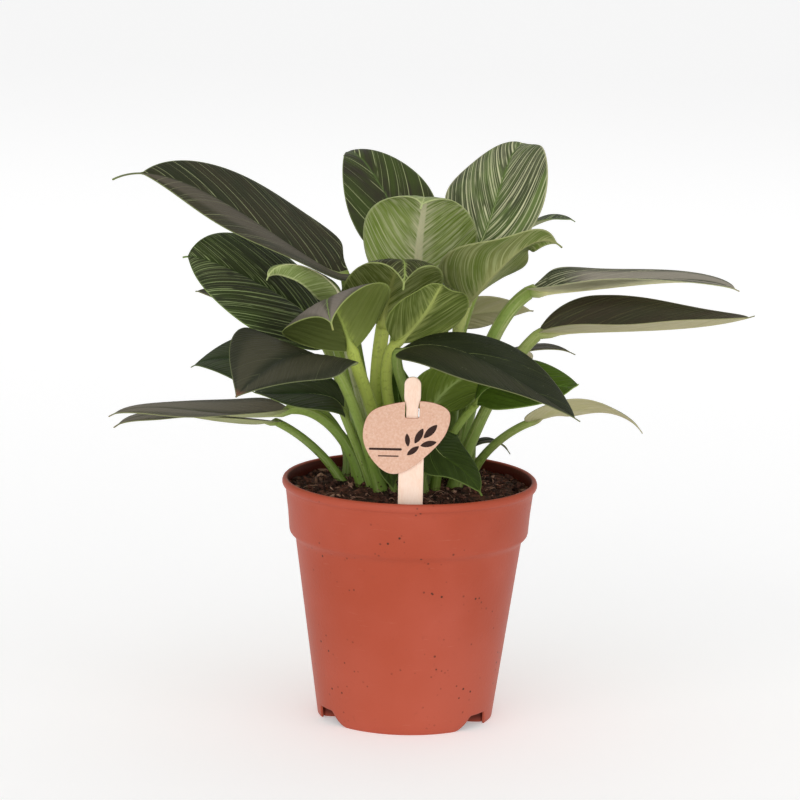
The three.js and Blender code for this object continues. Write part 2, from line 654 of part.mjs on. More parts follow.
function bladeGeometry(leaf) {
  const { rows, columns } = leaf.width >= LARGE_BLADE_WIDTH ? LARGE_BLADE : SMALL_BLADE;
  const upper = [];
  const lower = [];
  for (let row = 0; row <= rows; row += 1) {
    const even = row / rows;
    const t = 0.4 * even + 0.6 * (0.5 - 0.5 * Math.cos(Math.PI * even));
    for (const across of columns) {
      const { point, up } = bladePoint(leaf, t, across);
      const rib = RIB_DEPTH * Math.max(1 - Math.abs(across) * 2, 0) * (1 - 0.75 * t);
      upper.push(point.clone().addScaledVector(up, MARGIN_HALF_THICKNESS));
      lower.push(point.clone().addScaledVector(up, -MARGIN_HALF_THICKNESS - rib));
    }
  }
  const points = [...upper, ...lower];
  const shift = upper.length;
  const across = columns.length;
  const index = [];
  const quad = (a, b, c, d) => index.push(a, b, c, a, c, d);
  for (let row = 0; row < rows; row += 1) {
    for (let column = 0; column < across - 1; column += 1) {
      const a = row * across + column;
      const b = a + 1;
      const c = a + across + 1;
      const d = a + across;
      quad(a, b, c, d);
      quad(shift + a, shift + d, shift + c, shift + b);
    }
    const left = row * across;
    const right = left + across - 1;
    quad(left, left + across, shift + left + across, shift + left);
    quad(right, shift + right, shift + right + across, right + across);
  }
  const last = rows * across;
  for (let column = 0; column < across - 1; column += 1) {
    quad(column, shift + column, shift + column + 1, column + 1);
    const far = last + column;
    quad(far, far + 1, shift + far + 1, shift + far);
  }
  const geometry = new THREE.BufferGeometry();
  geometry.setAttribute('position', new THREE.Float32BufferAttribute(points.flatMap((p) => p.toArray()), 3));
  geometry.setIndex(index);
  return geometry;
}

function stalkCurve(leaf) {
  const path = new THREE.CurvePath();
  const blade = vector(leaf.rib[0]);
  path.add(new THREE.CubicBezierCurve3(...leaf.stalk.map(vector), blade));
  path.add(new THREE.LineCurve3(blade, leaf.ribCurve.getPoint(STALK_RUN_INTO_BLADE)));
  return path;
}

function makeLeaf(leaf) {
  const blade = toSolid(bladeGeometry(leaf));
  const stalk = toSolid(tubeAlong(stalkCurve(leaf), leaf.stalkRadius, STALK_SIDES, STALK_STEPS));
  return toGeometry(largestBody(blade.add(stalk)));
}

// Short stem of the clump
function stemCurve() {
  return curveThrough(STEM.points);
}

function makeStem() {
  return tubeAlong(stemCurve(), STEM.radius, STEM.sides, STEM.steps);
}

// Soil
function seededDraw(seed) {
  let state = seed;
  return () => {
    state = (state * 1664525 + 1013904223) % 4294967296;
    return state / 4294967296;
  };
}

function soilHeightAt(radius) {
  const share = Math.min(radius / CRUMB_FIELD_RADIUS, 1);
  return SOIL_MIDDLE_HEIGHT + (SOIL_EDGE_HEIGHT - SOIL_MIDDLE_HEIGHT) * share ** 2;
}

// A hole that follows a stalk section by section, wider by the gap and a little deeper
function plantHole({ curve, radius, sides, steps }) {
  const wider = (radius + GAP) / Math.cos(Math.PI / sides);
  const hole = tubeAlong(curve, wider, sides, steps);
  const root = curve.getPoint(0);
  const along = curve.getTangent(0);
  const positions = hole.getAttribute('position');
  for (let corner = 0; corner < positions.count; corner += 1) {
    const place = new THREE.Vector3().fromBufferAttribute(positions, corner);
    if (place.clone().sub(root).dot(along) < GAP) {
      place.addScaledVector(along, -GAP);
      positions.setXYZ(corner, place.x, place.y, place.z);
    }
  }
  return toSolid(hole);
}

function pointAtHeight(curve, height) {
  return curve.getSpacedPoints(100).find((point) => point.z > height);
}

function crumbs(keepClear) {
  const draw = seededDraw(CRUMB_SEED);
  const pieces = [];
  while (pieces.length < CRUMB_COUNT) {
    const angle = 2 * Math.PI * draw();
    const distance = CRUMB_FIELD_RADIUS * Math.sqrt(draw());
    const size = CRUMB_RADIUS[0] + (CRUMB_RADIUS[1] - CRUMB_RADIUS[0]) * draw() ** 2;
    const turn = 2 * Math.PI * draw();
    const place = new THREE.Vector3(distance * Math.cos(angle), distance * Math.sin(angle), 0);
    const free = keepClear.every(({ x, y, radius }) => Math.hypot(place.x - x, place.y - y) > radius + size);
    if (free) {
      const crumb = new THREE.IcosahedronGeometry(size, 0);
      crumb.scale(1.15, 1, 0.8);
      crumb.rotateZ(turn);
      crumb.translate(place.x, place.y, soilHeightAt(distance) + 0.15 * size);
      pieces.push(crumb);
    }
  }
  return pieces;
}

function makeSoil(plants) {
  const floor = FLOOR_UNDERSIDE + FLOOR_THICKNESS + GAP;
  const slopeGap = 0.4;
  const profile = [
    [0, floor],
    [innerRadiusAt(floor) - slopeGap, floor],
    [STEP_RADIUS - WALL - slopeGap, STEP_HEIGHT],
    [BAND_FOOT_RADIUS - WALL - slopeGap, BAND_FOOT_HEIGHT + 0.2],
    [BAND_TOP_RADIUS - WALL - slopeGap - 0.5, SOIL_EDGE_HEIGHT - 0.6],
    [CRUMB_FIELD_RADIUS, SOIL_EDGE_HEIGHT],
    [CRUMB_FIELD_RADIUS / 2, soilHeightAt(CRUMB_FIELD_RADIUS / 2)],
    [0, SOIL_MIDDLE_HEIGHT],
  ];
  let soil = toSolid(turnedProfile(profile, SOIL_SIDES));
  const keepClear = plants.map(({ curve, radius }) => {
    const { x, y } = pointAtHeight(curve, SOIL_MIDDLE_HEIGHT);
    return { x, y, radius: radius + 1 };
  });
  keepClear.push({ x: STICK_CENTRE_X, y: STICK_Y, radius: STICK_WIDTH / 2 + 1 });
  for (const crumb of crumbs(keepClear)) {
    soil = soil.add(toSolid(crumb));
  }
  for (const plant of plants) {
    soil = soil.subtract(plantHole(plant));
  }
  soil = soil.subtract(toSolid(stickSlot()));
  return toGeometry(largestBody(soil));
}

// Stick and tag
function stickOutline(margin) {
  const foot = STICK_WIDTH / 2 + margin;
  const neck = NECK_WIDTH / 2;
  const head = HEAD_WIDTH / 2;
  const shape = new THREE.Shape();
  shape.moveTo(-foot, STICK_BOTTOM - margin);
  shape.lineTo(foot, STICK_BOTTOM - margin);
  shape.lineTo(foot, STICK_SHOULDER - 2);
  shape.quadraticCurveTo(foot, STICK_SHOULDER, foot - 2, STICK_SHOULDER);
  shape.lineTo(neck, STICK_SHOULDER + 1);
  shape.lineTo(neck, NECK_TOP - 2);
  shape.quadraticCurveTo(head, NECK_TOP, head, NECK_TOP + 2);
  shape.lineTo(head, HEAD_TOP - head);
  shape.absarc(0, HEAD_TOP - head, head, 0, Math.PI, false);
  shape.lineTo(-head, NECK_TOP + 2);
  shape.quadraticCurveTo(-head, NECK_TOP, -neck, NECK_TOP - 2);
  shape.lineTo(-neck, STICK_SHOULDER + 1);
  shape.lineTo(-foot + 2, STICK_SHOULDER);
  shape.quadraticCurveTo(-foot, STICK_SHOULDER, -foot, STICK_SHOULDER - 2);
  shape.closePath();
  return shape;
}

// A shape drawn in X and Z, given a thickness along Y and centred on the plane y
function standingPlate(shape, thickness, x, y, curveSegments) {
  const plate = new THREE.ExtrudeGeometry(shape, { depth: thickness, bevelEnabled: false, curveSegments });
  plate.rotateX(Math.PI / 2);
  plate.translate(x, y + thickness / 2, 0);
  return plate;
}

function makeStick() {
  return standingPlate(stickOutline(0), STICK_THICKNESS, STICK_CENTRE_X, STICK_Y, 5);
}

function stickSlot() {
  const slot = new THREE.BoxGeometry(
    STICK_WIDTH + 2 * GAP, STICK_THICKNESS + 2 * GAP, POT_HEIGHT - STICK_BOTTOM + GAP);
  slot.translate(STICK_CENTRE_X, STICK_Y, (POT_HEIGHT + STICK_BOTTOM - GAP) / 2);
  return slot;
}

function makeTag() {
  const loop = new THREE.CatmullRomCurve3(TAG_OUTLINE.map(([x, z]) => new THREE.Vector3(x, z, 0)), true);
  const shape = new THREE.Shape(loop.getPoints(36).slice(0, -1).map(({ x, y }) => new THREE.Vector2(x, y)));
  const y = STICK_Y - STICK_THICKNESS / 2 - GAP - TAG_THICKNESS / 2;
  const card = toSolid(standingPlate(shape, TAG_THICKNESS, 0, y, 4));
  const slotHeight = HEAD_TOP - TAG_SLOT_BOTTOM;
  const slot = new THREE.BoxGeometry(TAG_SLOT_WIDTH, TAG_THICKNESS * 3, slotHeight);
  slot.translate(STICK_CENTRE_X, y, TAG_SLOT_BOTTOM + slotHeight / 2);
  return toGeometry(card.subtract(toSolid(slot)));
}

// The whole object
const group = new THREE.Group();

function addPiece(name, geometry, color, roughness) {
  const material = new THREE.MeshStandardMaterial({ color, roughness, metalness: 0 });
  const mesh = new THREE.Mesh(geometry, material);
  mesh.name = name;
  group.add(mesh);
}

function leafColour(name) {
  if (YOUNG_LEAVES.includes(name)) {
    return LEAF_COLOURS.young;
  }
  return FRESH_LEAVES.includes(name) ? LEAF_COLOURS.fresh : LEAF_COLOURS.dark;
}

const plants = [{ ...STEM, curve: stemCurve() }];
LEAVES.forEach((leaf, order) => {
  leaf.ribCurve = curveThrough(leaf.rib);
  leaf.wavePhase = 0.37 * order;
  plants.push({ curve: stalkCurve(leaf), radius: leaf.stalkRadius, sides: STALK_SIDES, steps: STALK_STEPS });
  addPiece(leaf.name, makeLeaf(leaf), leafColour(leaf.name), 0.45);
});
addPiece('stem_left', makeStem(), 0x6f8a3a, 0.55);
addPiece('soil', makeSoil(plants), 0x33201a, 0.95);
addPiece('pot', makePot(), 0xb4593f, 0.5);
addPiece('plant_stick', makeStick(), 0xe8cdb4, 0.7);
addPiece('card_tag', makeTag(), 0xe0b89c, 0.8);
for (const mesh of group.children) {
  mesh.geometry.translate(POT_AXIS.x, POT_AXIS.y, 0);
}

export default group;
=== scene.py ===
import json
import math
import random

import bmesh
import bpy
import numpy as np
from mathutils import Matrix, Vector, noise


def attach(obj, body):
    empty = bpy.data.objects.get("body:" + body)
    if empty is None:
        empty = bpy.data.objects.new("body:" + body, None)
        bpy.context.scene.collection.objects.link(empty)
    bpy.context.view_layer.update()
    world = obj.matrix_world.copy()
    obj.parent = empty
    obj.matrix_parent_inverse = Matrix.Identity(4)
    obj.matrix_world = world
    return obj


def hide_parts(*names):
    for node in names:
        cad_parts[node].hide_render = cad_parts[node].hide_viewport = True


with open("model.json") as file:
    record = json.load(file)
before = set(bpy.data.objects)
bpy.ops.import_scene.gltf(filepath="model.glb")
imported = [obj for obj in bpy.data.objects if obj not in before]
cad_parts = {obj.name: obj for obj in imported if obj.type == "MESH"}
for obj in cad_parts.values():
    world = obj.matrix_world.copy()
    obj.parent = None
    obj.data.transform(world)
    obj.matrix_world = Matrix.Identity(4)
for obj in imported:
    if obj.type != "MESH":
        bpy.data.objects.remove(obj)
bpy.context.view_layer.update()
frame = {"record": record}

# Lengths below are millimetres round the pot's axis, as in the part's own source
MM = 0.001
POT_AXIS = (-8.0, -11.6, 0.0)
TO_METRES = Matrix.Scale(MM, 4) @ Matrix.Translation(POT_AXIS)
FULL_TURN = 2 * math.pi
WELD_DISTANCE = 0.01

# Camera
CAMERA_TARGET = (-5.4, 0.0, 151.0)
CAMERA_DISTANCE = 1800.0
CAMERA_ELEVATION = 11.0
CAMERA_ROLL = 1.25
CAMERA_LENS = 172.8
CAMERA_SENSOR = 36.0

# Light: each sun's place in metres, strength and softness in degrees
SUNS = {
    "sun_front_left": ((-0.8, -1.3, 0.6), 0.95, 60),
    "sun_front_right": ((1.1, -1.0, 0.5), 0.55, 60),
    "sun_front_low": ((0.1, -1.5, 0.2), 0.8, 60),
}
PANEL_PLACE = (0.2, 1.5, 1.5)
PANEL_SIZE = (2.2, 1.2)
PANEL_POWER = 4
LIGHT_TARGET = (0, 0, 0.15)
WORLD_STRENGTH = 0.55
FLOOR_HALF_SIZE = 4.0
FLOOR_COLOUR = (0.9, 0.9, 0.9, 1)
FLOOR_GLOW = 0.28
WHITE = (1, 1, 1, 1)

# Pot
RIM_RADIUS = 60.0
POT_HEIGHT = 114.0
BAND_TOP_RADIUS = 58.4
BAND_MIDDLE = (57.0, 98.0)
BAND_FOOT_RADIUS = 56.2
BAND_FOOT_HEIGHT = 88.7
STEP_RADIUS = 53.2
STEP_HEIGHT = 84.6
FOOT_RADIUS = 41.4
WALL = 1.1
LIP_HEIGHT = 4.4
FLOOR_UNDERSIDE = 8.6
FLOOR_THICKNESS = 1.2
NOTCH_ANGLES = (-61.7, 55.0, 176.7)
NOTCH_HEIGHT = 6.4
NOTCH_TOP_HALF_WIDTH = 5.9
NOTCH_FRONT_HALF_WIDTH = 15.2
NOTCH_REAR_HALF_WIDTH = 7.1
BASE_RADIUS = 40.2
BASE_HEIGHT = 0.3
POCKET_DEPTH = 7.5
POCKET_MARGIN = 0.5
POCKET_SLOPE_WIDTH = 4.0
NOTCH_ZONE_TOP = FLOOR_UNDERSIDE - 0.5
POT_SIDES = 288

# Soil
SOIL_EDGE_HEIGHT = 109.0
SOIL_MIDDLE_HEIGHT = 113.0
SOIL_FLAT_RADIUS = 50.0
SOIL_RADIUS = 57.0
SOIL_BOTTOM = 96.0
SOIL_RINGS = 70
SOIL_SIDES = 200
SOIL_ROUGHNESS = 1.2
CRUMB_COUNT = 1400
CRUMB_SEED = 11
CRUMB_MARGIN = 1.5
FIBRE_COUNT = 420
FIBRE_MARGIN = 5.0
FIBRE_BEND = 1.6
# Least and spread of what is drawn for each crumb and fibre
CRUMB_SIZE = (0.25, 1.5)
CRUMB_STRETCH = ((0.8, 1.6), (0.6, 0.5), (0.35, 0.4))
FIBRE_LENGTH = (2.0, 7)
FIBRE_RADIUS = (0.1, 0.18)
FIBRE_LIFT = (0.5, 0.9)
FIBRE_TONE = (0.4, 0.55)

# Short stem
STEM_POINTS = [(-22, 4, 100), (-23, 4, 112), (-25, 4, 124), (-28, 4, 134)]
STEM_LENGTH = 36.0
STEM_RADIUS = 4.7
STEM_SIDES = 32
STEM_RINGS = 50
SCAR_PLACES = (0.32, 0.52, 0.7)

# Stick and tag
STICK_X = 0.3
STICK_Y = -51.0
STICK_THICKNESS = 1.8
STICK_HALF_WIDTH = 5.7
STICK_BOTTOM = 96.0
STICK_SHOULDER = 150.0
STICK_ROUNDING = 0.35
NECK_HALF_WIDTH = 2.8
NECK_TOP = 160.5
HEAD_HALF_WIDTH = 3.8
HEAD_TOP = 171.8
TAG_GAP = 0.3
TAG_THICKNESS = 0.9
TAG_ROUNDING = 0.12
TAG_Y = STICK_Y - STICK_THICKNESS / 2 - TAG_GAP - TAG_THICKNESS / 2
TAG_CURVE_STEPS = 14
SLOT_HALF_WIDTH = 3.3
SLOT_BOTTOM = 152.9
SLOT_TOPS = (160.3, 160.5)
TAG_OUTLINE = [(-22, 144.4), (-18.5, 155.4), (-6, 160), (8, 160.6), (17, 156.4), (16.4, 147.5),
               (10.6, 139), (-1, 129), (-10, 127.2), (-18, 134)]

# Print on the tag: leaves of a plain sprig (x, z, lean in degrees, size) and bars (x, z, half sizes)
SPRIG_LEAVES = ((1.0, 137.9, 38, 0.95), (8.0, 141.2, 14, 1.05), (3.6, 144.8, 62, 1.1), (8.8, 147.0, 46, 1.2),
                (-1.6, 142.8, 96, 0.85))
SPRIG_HALF_LENGTH = 3.6
SPRIG_HALF_WIDTH = 1.35
PRINT_BARS = ((-11.6, 138.4, 7.0, 0.55), (-10.2, 135.2, 4.4, 0.3))
PRINT_THICKNESS = 0.2
PRINT_HEIGHT = 0.03

# Leaves
BLADE_HALF_THICKNESS = 0.28
RIM_HALF_THICKNESS = 0.12
RIM_TAPER = 0.3
TIP_HALF_WIDTH = 0.45
WAVE_HEIGHT = 0.6
WAVE_COUNT = 1.6
WAVE_SIDE_SHIFT = 0.3
WAVE_LEAF_SHIFT = 0.37
FULL_WAVE_WIDTH = 40.0
QUILT_HEIGHT = 0.1
QUILT_PITCH = 7.5
GROOVE_DEPTH = 0.34
GROOVE_HALF_WIDTH = 0.9
RIB_HEIGHT = 0.55
RIB_HALF_WIDTH = 1.4
ROWS_ALONG = 72
COLUMNS_ACROSS = 32
COLUMN_CROWDING = 1.15
STALK_SIDES = 16
STALK_RINGS = 56
STALK_SHARE = 0.7
STALK_SHIFT = 2.0
STALK_FLARE = 0.5
STALK_FLARE_REACH = 0.22
VEIN_LEAN_GAIN = 0.9
VEIN_BEND = 0.012
QUILT_RIB_MARGIN = 6.0
QUILT_RIM_MARGIN = 4.0
RIDGE_START = 0.02
RIDGE_END = 0.8
NEARLY_MIDDLE = 1e-4
LEFT_OF_CLUMP = -10.0
LEFT_SPOTS = 0.9
OTHER_SPOTS = 0.15


def leaf_data(look, width, radius, rib, side, stalk, left=(10, 10, -14, -14), right=(10, 10, -14, -14),
              shape=(0.4, 0.6, 1.15, 2, 0.03)):
    """One leaf: its look, the blade's width, the stalk's radius, four points along the midrib, the
    direction across it at base and tip, three points of the stalk, the fold and curl of each half
    (degrees: fold at base and tip, curl at base and tip), and its shape: the widest place, base and tip
    roundness, sweep of the lobes and length of the tail."""
    return dict(look=look, width=width, radius=radius, rib=rib, side=side, stalk=stalk, left=left,
                right=right, shape=shape)


LEAVES = {
    "leaf_upper_left": leaf_data(
        "old_lined", 64, 2.4, [(-32, -4, 211), (-59, -7, 225), (-100, -17, 251), (-137, -50, 259)],
        [(-0.39, 0.86, 0.34), (-0.63, 0.23, 0.74)], [(-11, 16, 103), (-18, 16, 130), (-29, 2, 185)],
        left=(21, 1, -4, -25), right=(20, 13, -6, -13), shape=(0.33, 0.54, 1, 2, 0.12)),
    "leaf_left_broad": leaf_data(
        "striped", 60, 2.4, [(-38, 0, 180), (-57, -5, 197), (-86, -14, 214), (-107, -17, 219)],
        [(-0.16, 0.79, 0.59), (-0.31, 0.71, 0.63)], [(-21, 14, 103), (-24, 12, 140), (-32, 6, 170)],
        left=(11, 2, -26, -26), right=(8, 9, -16, -10), shape=(0.5, 0.42, 0.81, 2, 0.06)),
    "leaf_left_rolled": leaf_data(
        "young", 20, 2.1, [(-33, -24, 202), (-42, -29, 214), (-57, -36, 220), (-67, -46, 214)],
        [(0.63, 0.74, 0.23), (-0.98, 0.03, 0.18)], [(-13, 5, 103), (-18, 4, 140), (-34, -16, 180)],
        left=(-33, -40, -27, -35), right=(-30, -27, -24, -22), shape=(0.27, 0.4, 0.8, 2, 0.03)),
    "leaf_left_behind": leaf_data(
        "old_thin", 22, 2.2, [(-45, 32, 175), (-64, 32, 185), (-88, 36, 192), (-104, 39, 194)],
        [(-0.12, 0.99, 0.11), (0.37, 0.9, 0.25)], [(-18, 22, 103), (-24, 17, 116), (-35, 34, 166)],
        left=(13, 10, -7, -10), right=(11, 14, -9, -6), shape=(0.42, 0.6, 0.96, 2, 0.03)),
    "leaf_front_folded": leaf_data(
        "folded", 54, 2.9, [(-28, -22, 178), (-35, -35, 198), (-39, -58, 208), (-36, -77, 197)],
        [(-0.91, -0.18, -0.38), (-0.86, 0.26, -0.44)], [(-8, -3, 103), (-12, -5, 135), (-24, -16, 163)],
        left=(9, 3, -18, -24), right=(6, -1, -22, -27), shape=(0.45, 0.7, 1.3, 0, 0.03)),
    "leaf_centre_hood": leaf_data(
        "fresh", 48, 3.3, [(-14, 4, 186), (-11, -11, 206), (-6, -38, 223), (-5, -48, 211)],
        [(-0.97, -0.23, 0.09), (-0.98, -0.18, -0.01)], [(-5, 10, 103), (-21, 6, 133), (-16, 3, 171)],
        left=(12, 9, -36, -39), right=(12, 11, -35, -37), shape=(0.36, 0.6, 1, 0, 0.03)),
    "leaf_top_young": leaf_data(
        "young", 54, 2.5, [(4, 36, 201), (2, 19, 221), (4, -2, 244), (2, -25, 245)],
        [(-0.85, 0.26, -0.45), (-0.97, 0.21, 0.08)], [(4, 17, 103), (15, 20, 140), (12, 36, 180)],
        left=(6, 5, -18, -19), right=(4, 10, -20, -14), shape=(0.44, 0.48, 1.13, 0, 0.03)),
    "leaf_top_left": leaf_data(
        "dark_lined", 42, 2.3, [(-3, 37, 220), (-9, 43, 232), (-23, 57, 253), (-35, 75, 256)],
        [(0.85, -0.31, -0.43), (0.8, 0.53, 0.29)], [(-8, 24, 103), (-10, 22, 140), (-9, 42, 205)],
        left=(4, 11, -14, -13), right=(6, 10, -13, -13), shape=(0.43, 0.41, 1.28, 2, 0.03)),
    "leaf_top_right": leaf_data(
        "bright", 52, 2.5, [(29, 37, 217), (37, 45, 235), (44, 62, 255), (52, 74, 264)],
        [(0.62, -0.41, -0.66), (0.28, -0.95, -0.15)], [(10, 21, 103), (27, 3, 122), (15, 42, 202)],
        left=(12, 5, -10, -12), right=(11, 12, -11, -6), shape=(0.49, 0.57, 0.64, 2, 0.03)),
    "leaf_right_slim": leaf_data(
        "striped", 26, 2.2, [(37, 48, 210), (51, 51, 224), (66, 58, 230), (77, 63, 228)],
        [(-0.38, -0.92, 0.11), (0.04, -1, -0.08)], [(15, 25, 103), (14, 22, 145), (24, 46, 194)],
        left=(10, 10, -15, -15), right=(10, 11, -15, -14)),
    "leaf_right_arching": leaf_data(
        "arching", 50, 2.5, [(25, 6, 197), (34, -9, 209), (50, -17, 227), (68, -7, 226)],
        [(-0.97, -0.23, -0.07), (0.85, -0.3, 0.44)], [(10, 12, 103), (12, 6, 140), (21, 12, 186)],
        left=(48, -7, 13, -41), right=(37, 17, 3, -17), shape=(0.43, 0.43, 1.44, 0, 0.03)),
    "leaf_centre_low": leaf_data(
        "low_fresh", 40, 2.6, [(-8, -14, 180), (4, -26, 195), (10, -32, 207), (13, -36, 212)],
        [(-0.74, -0.55, 0.38), (-0.5, -0.7, 0.5)], [(0, 2, 103), (-8, -5, 140), (-18, -8, 168)],
        left=(15, 2, -22, -38), right=(8, 1, -20, -27), shape=(0.4, 0.62, 0.52, -2, 0.03)),
    "leaf_right_upper": leaf_data(
        "faded", 52, 3.2, [(56, 15, 202), (84, 12, 204), (122, 12, 208), (151, -5, 207)],
        [(-0.5, -0.86, -0.11), (-0.84, -0.53, 0.07)], [(19, 9, 103), (26, 8, 140), (33, 12, 190)],
        left=(25, 14, -7, -17), right=(26, 10, -6, -22), shape=(0.35, 0.59, 0.92, 2, 0.03)),
    "leaf_right_lower": leaf_data(
        "old_thin", 50, 2.6, [(59, -10, 186), (91, -11, 188), (126, -15, 191), (156, -32, 200)],
        [(-0.12, -0.98, -0.13), (-0.71, -0.7, -0.07)], [(19, -8, 103), (24, -8, 128), (42, -9, 172)],
        left=(32, 28, -8, -12), right=(30, 27, -10, -13), shape=(0.29, 0.7, 0.82, 1, 0.03)),
    "leaf_right_narrow": leaf_data(
        "old_thin", 24, 2.2, [(28, 39, 158), (46, 43, 166), (62, 44, 170), (78, 41, 167)],
        [(0.23, -0.97, 0.02), (-0.32, -0.95, -0.02)], [(25, 25, 103), (36, 54, 130), (19, 36, 153)],
        left=(8, 8, -15, -15), right=(7, 8, -16, -15), shape=(0.4, 0.6, 1.18, 2, 0.03)),
    "leaf_front_right": leaf_data(
        "plain", 52, 2.4, [(-7, -30, 179), (19, -45, 184), (48, -61, 173), (75, -87, 160)],
        [(-0.43, -0.86, -0.29), (-0.78, -0.61, 0.13)], [(8, -6, 103), (5, -12, 148), (-10, -27, 170)],
        left=(7, 9, -21, -15), right=(4, 15, -24, -9), shape=(0.46, 0.68, 0.92, 1, 0.03)),
    "leaf_front_right_under": leaf_data(
        "deep", 32, 1.8, [(30, -12, 152), (43, -26, 165), (64, -34, 166), (76, -40, 168)],
        [(0.35, -0.71, -0.61), (-0.83, -0.51, -0.23)], [(11, -14, 103), (12, -20, 130), (20, -17, 142)],
        left=(3, 6, -16, -12), right=(5, 2, -14, -16), shape=(0.47, 0.77, 1.05, 0, 0.03)),
    "leaf_low_right": leaf_data(
        "pale_under", 34, 1.9, [(58, 11, 140), (73, 4, 147), (93, 6, 147), (109, 3, 137)],
        [(-0.86, -0.5, 0.07), (-0.07, -0.87, 0.49)], [(28, 22, 103), (28, 22, 118), (45, 14, 135)],
        left=(14, 5, -6, -15), right=(9, 2, -11, -18), shape=(0.4, 0.57, 1.15, 2, 0.03)),
    "leaf_low_right_small": leaf_data(
        "plain", 12, 1.3, [(29, 29, 123), (35, 31, 126), (42, 33, 125), (48, 35, 119)],
        [(0.25, -0.97, 0), (0.29, -0.96, 0)], [(33, 28, 103), (27, 24, 121), (22, 28, 122)],
        left=(8, 8, -12, -12), right=(8, 8, -12, -12)),
    "leaf_front_left": leaf_data(
        "sheened_dark", 63, 2.4, [(-37, -37, 174), (-48, -54, 182), (-62, -69, 180), (-78, -99, 170)],
        [(-0.84, 0.52, 0.15), (-0.96, 0.27, 0.12)], [(-11, -19, 103), (-18, -22, 130), (-30, -31, 166)],
        left=(10, 8, -10, -14), right=(5, 15, -12, -7), shape=(0.45, 0.72, 1.05, 2, 0)),
    "leaf_left_shaded": leaf_data(
        "shaded", 46, 1.9, [(-53, 12, 152), (-68, 7, 164), (-87, 5, 168), (-104, 8, 163)],
        [(-0.07, 0.92, 0.4), (0.16, 0.92, 0.35)], [(-32, 14, 103), (-21, 19, 129), (-47, 16, 146)],
        left=(7, 7, -13, -13), right=(9, 7, -11, -13), shape=(0.39, 0.6, 1.13, 2, 0.03)),
    "leaf_front_left_under": leaf_data(
        "shaded", 32, 1.9, [(-32, -14, 148), (-42, -22, 157), (-60, -28, 158), (-73, -38, 161)],
        [(0.05, 0.83, 0.56), (-0.81, 0.53, 0.24)], [(-14, -12, 103), (-22, -14, 125), (-29, -14, 140)],
        left=(16, 10, -5, -10), right=(9, 7, -12, -13), shape=(0.43, 0.59, 1.13, 2, 0.03)),
    "leaf_low_left_outer": leaf_data(
        "sheened_grey", 48, 2.5, [(-57, -8, 147), (-84, -10, 144), (-115, -12, 147), (-140, -24, 145)],
        [(-0.21, 0.98, -0.01), (-0.76, 0.65, 0.09)], [(-20, -7, 103), (-24, -8, 131), (-42, -8, 150)],
        left=(21, -2, 1, -22), right=(18, -1, -2, -21), shape=(0.3, 0.6, 1.18, 0, 0.03)),
    "leaf_low_left_inner": leaf_data(
        "sheened_grey", 38, 1.9, [(-64, 12, 137), (-86, 9, 139), (-116, 10, 140), (-139, -5, 136)],
        [(-0.65, 0.75, -0.14), (-0.88, 0.47, 0.01)], [(-29, 4, 103), (-33, 5, 117), (-50, 8, 132)],
        left=(6, 3, -12, -15), right=(2, 1, -16, -17), shape=(0.4, 0.6, 1.2, 2, 0.03)),
    "leaf_front_behind_tag": leaf_data(
        "dim", 27, 1.8, [(9, -32, 146), (13, -36, 134), (22, -39, 128), (33, -50, 117)],
        [(-0.94, -0.32, 0.06), (-0.87, -0.46, -0.18)], [(8, -20, 103), (0, -18, 142), (8, -29, 153)],
        left=(6, 6, -14, -15), right=(7, 6, -13, -14), shape=(0.31, 0.54, 0.72, 2, 0.03)),
    "leaf_front_drooping": leaf_data(
        "dim", 10, 1.3, [(-11, -30, 132), (-10, -34, 127), (-9, -38, 122), (-7, -42, 116)],
        [(-0.99, -0.15, -0.04), (-0.96, -0.23, -0.18)], [(-4, -18, 103), (-16, -27, 138), (-12, -26, 137)],
        left=(8, 8, -12, -12), right=(8, 8, -12, -12), shape=(0.4, 0.6, 1.15, 0, 0.03)),
    "leaf_centre_sheath": leaf_data(
        "deep", 16, 2, [(-4, 6, 140), (-6, 5, 151), (-7, 3, 161), (-7, 1, 172)],
        [(0.93, 0.37, 0.05), (0.85, 0.43, 0.29)], [(3, 9, 103), (1, 9, 118), (-3, 7, 130)],
        left=(20, 20, 10, 10), right=(20, 20, 10, 10), shape=(0.4, 0.6, 1.15, 0, 0.03)),
    "leaf_centre_right": leaf_data(
        "deep", 33, 2.4, [(8, -5, 146), (14, -9, 156), (23, -14, 165), (32, -20, 170)],
        [(-0.81, -0.41, 0.42), (-0.69, -0.51, 0.51)], [(13, 2, 103), (9, -2, 128), (4, -2, 140)],
        left=(8, 8, -12, -12), right=(8, 8, -12, -12), shape=(0.4, 0.6, 1.15, 0, 0.03)),
    "leaf_right_pale": leaf_data(
        "pale_under", 22, 2.2, [(14, 48, 181), (29, 52, 184), (45, 57, 185), (58, 63, 184)],
        [(0.1, -0.5, 0.86), (0.15, -0.7, 0.68)], [(9, 30, 103), (9, 39, 123), (18, 44, 168)],
        left=(9, 5, -11, -15), right=(9, 6, -11, -14), shape=(0.4, 0.6, 1.16, 2, 0.03)),
    "leaf_back_high": leaf_data(
        "dark_lined", 44, 2.4, [(-5, 52, 187), (-4, 78, 193), (0, 102, 187), (4, 122, 172)],
        [(1, 0.02, 0), (0.99, -0.11, 0)], [(-2, 36, 103), (-10, 38, 135), (-11, 46, 178)]),
    "leaf_back_left": leaf_data(
        "striped", 34, 2.4, [(-36, 44, 176), (-53, 62, 187), (-71, 80, 189), (-86, 94, 179)],
        [(0.71, 0.7, 0), (0.63, 0.77, 0)], [(-12, 28, 103), (-32, 36, 135), (-28, 36, 168)]),
    "leaf_back_right": leaf_data(
        "old_thin", 34, 2.4, [(31, 54, 160), (40, 74, 162), (48, 92, 155), (55, 106, 144)],
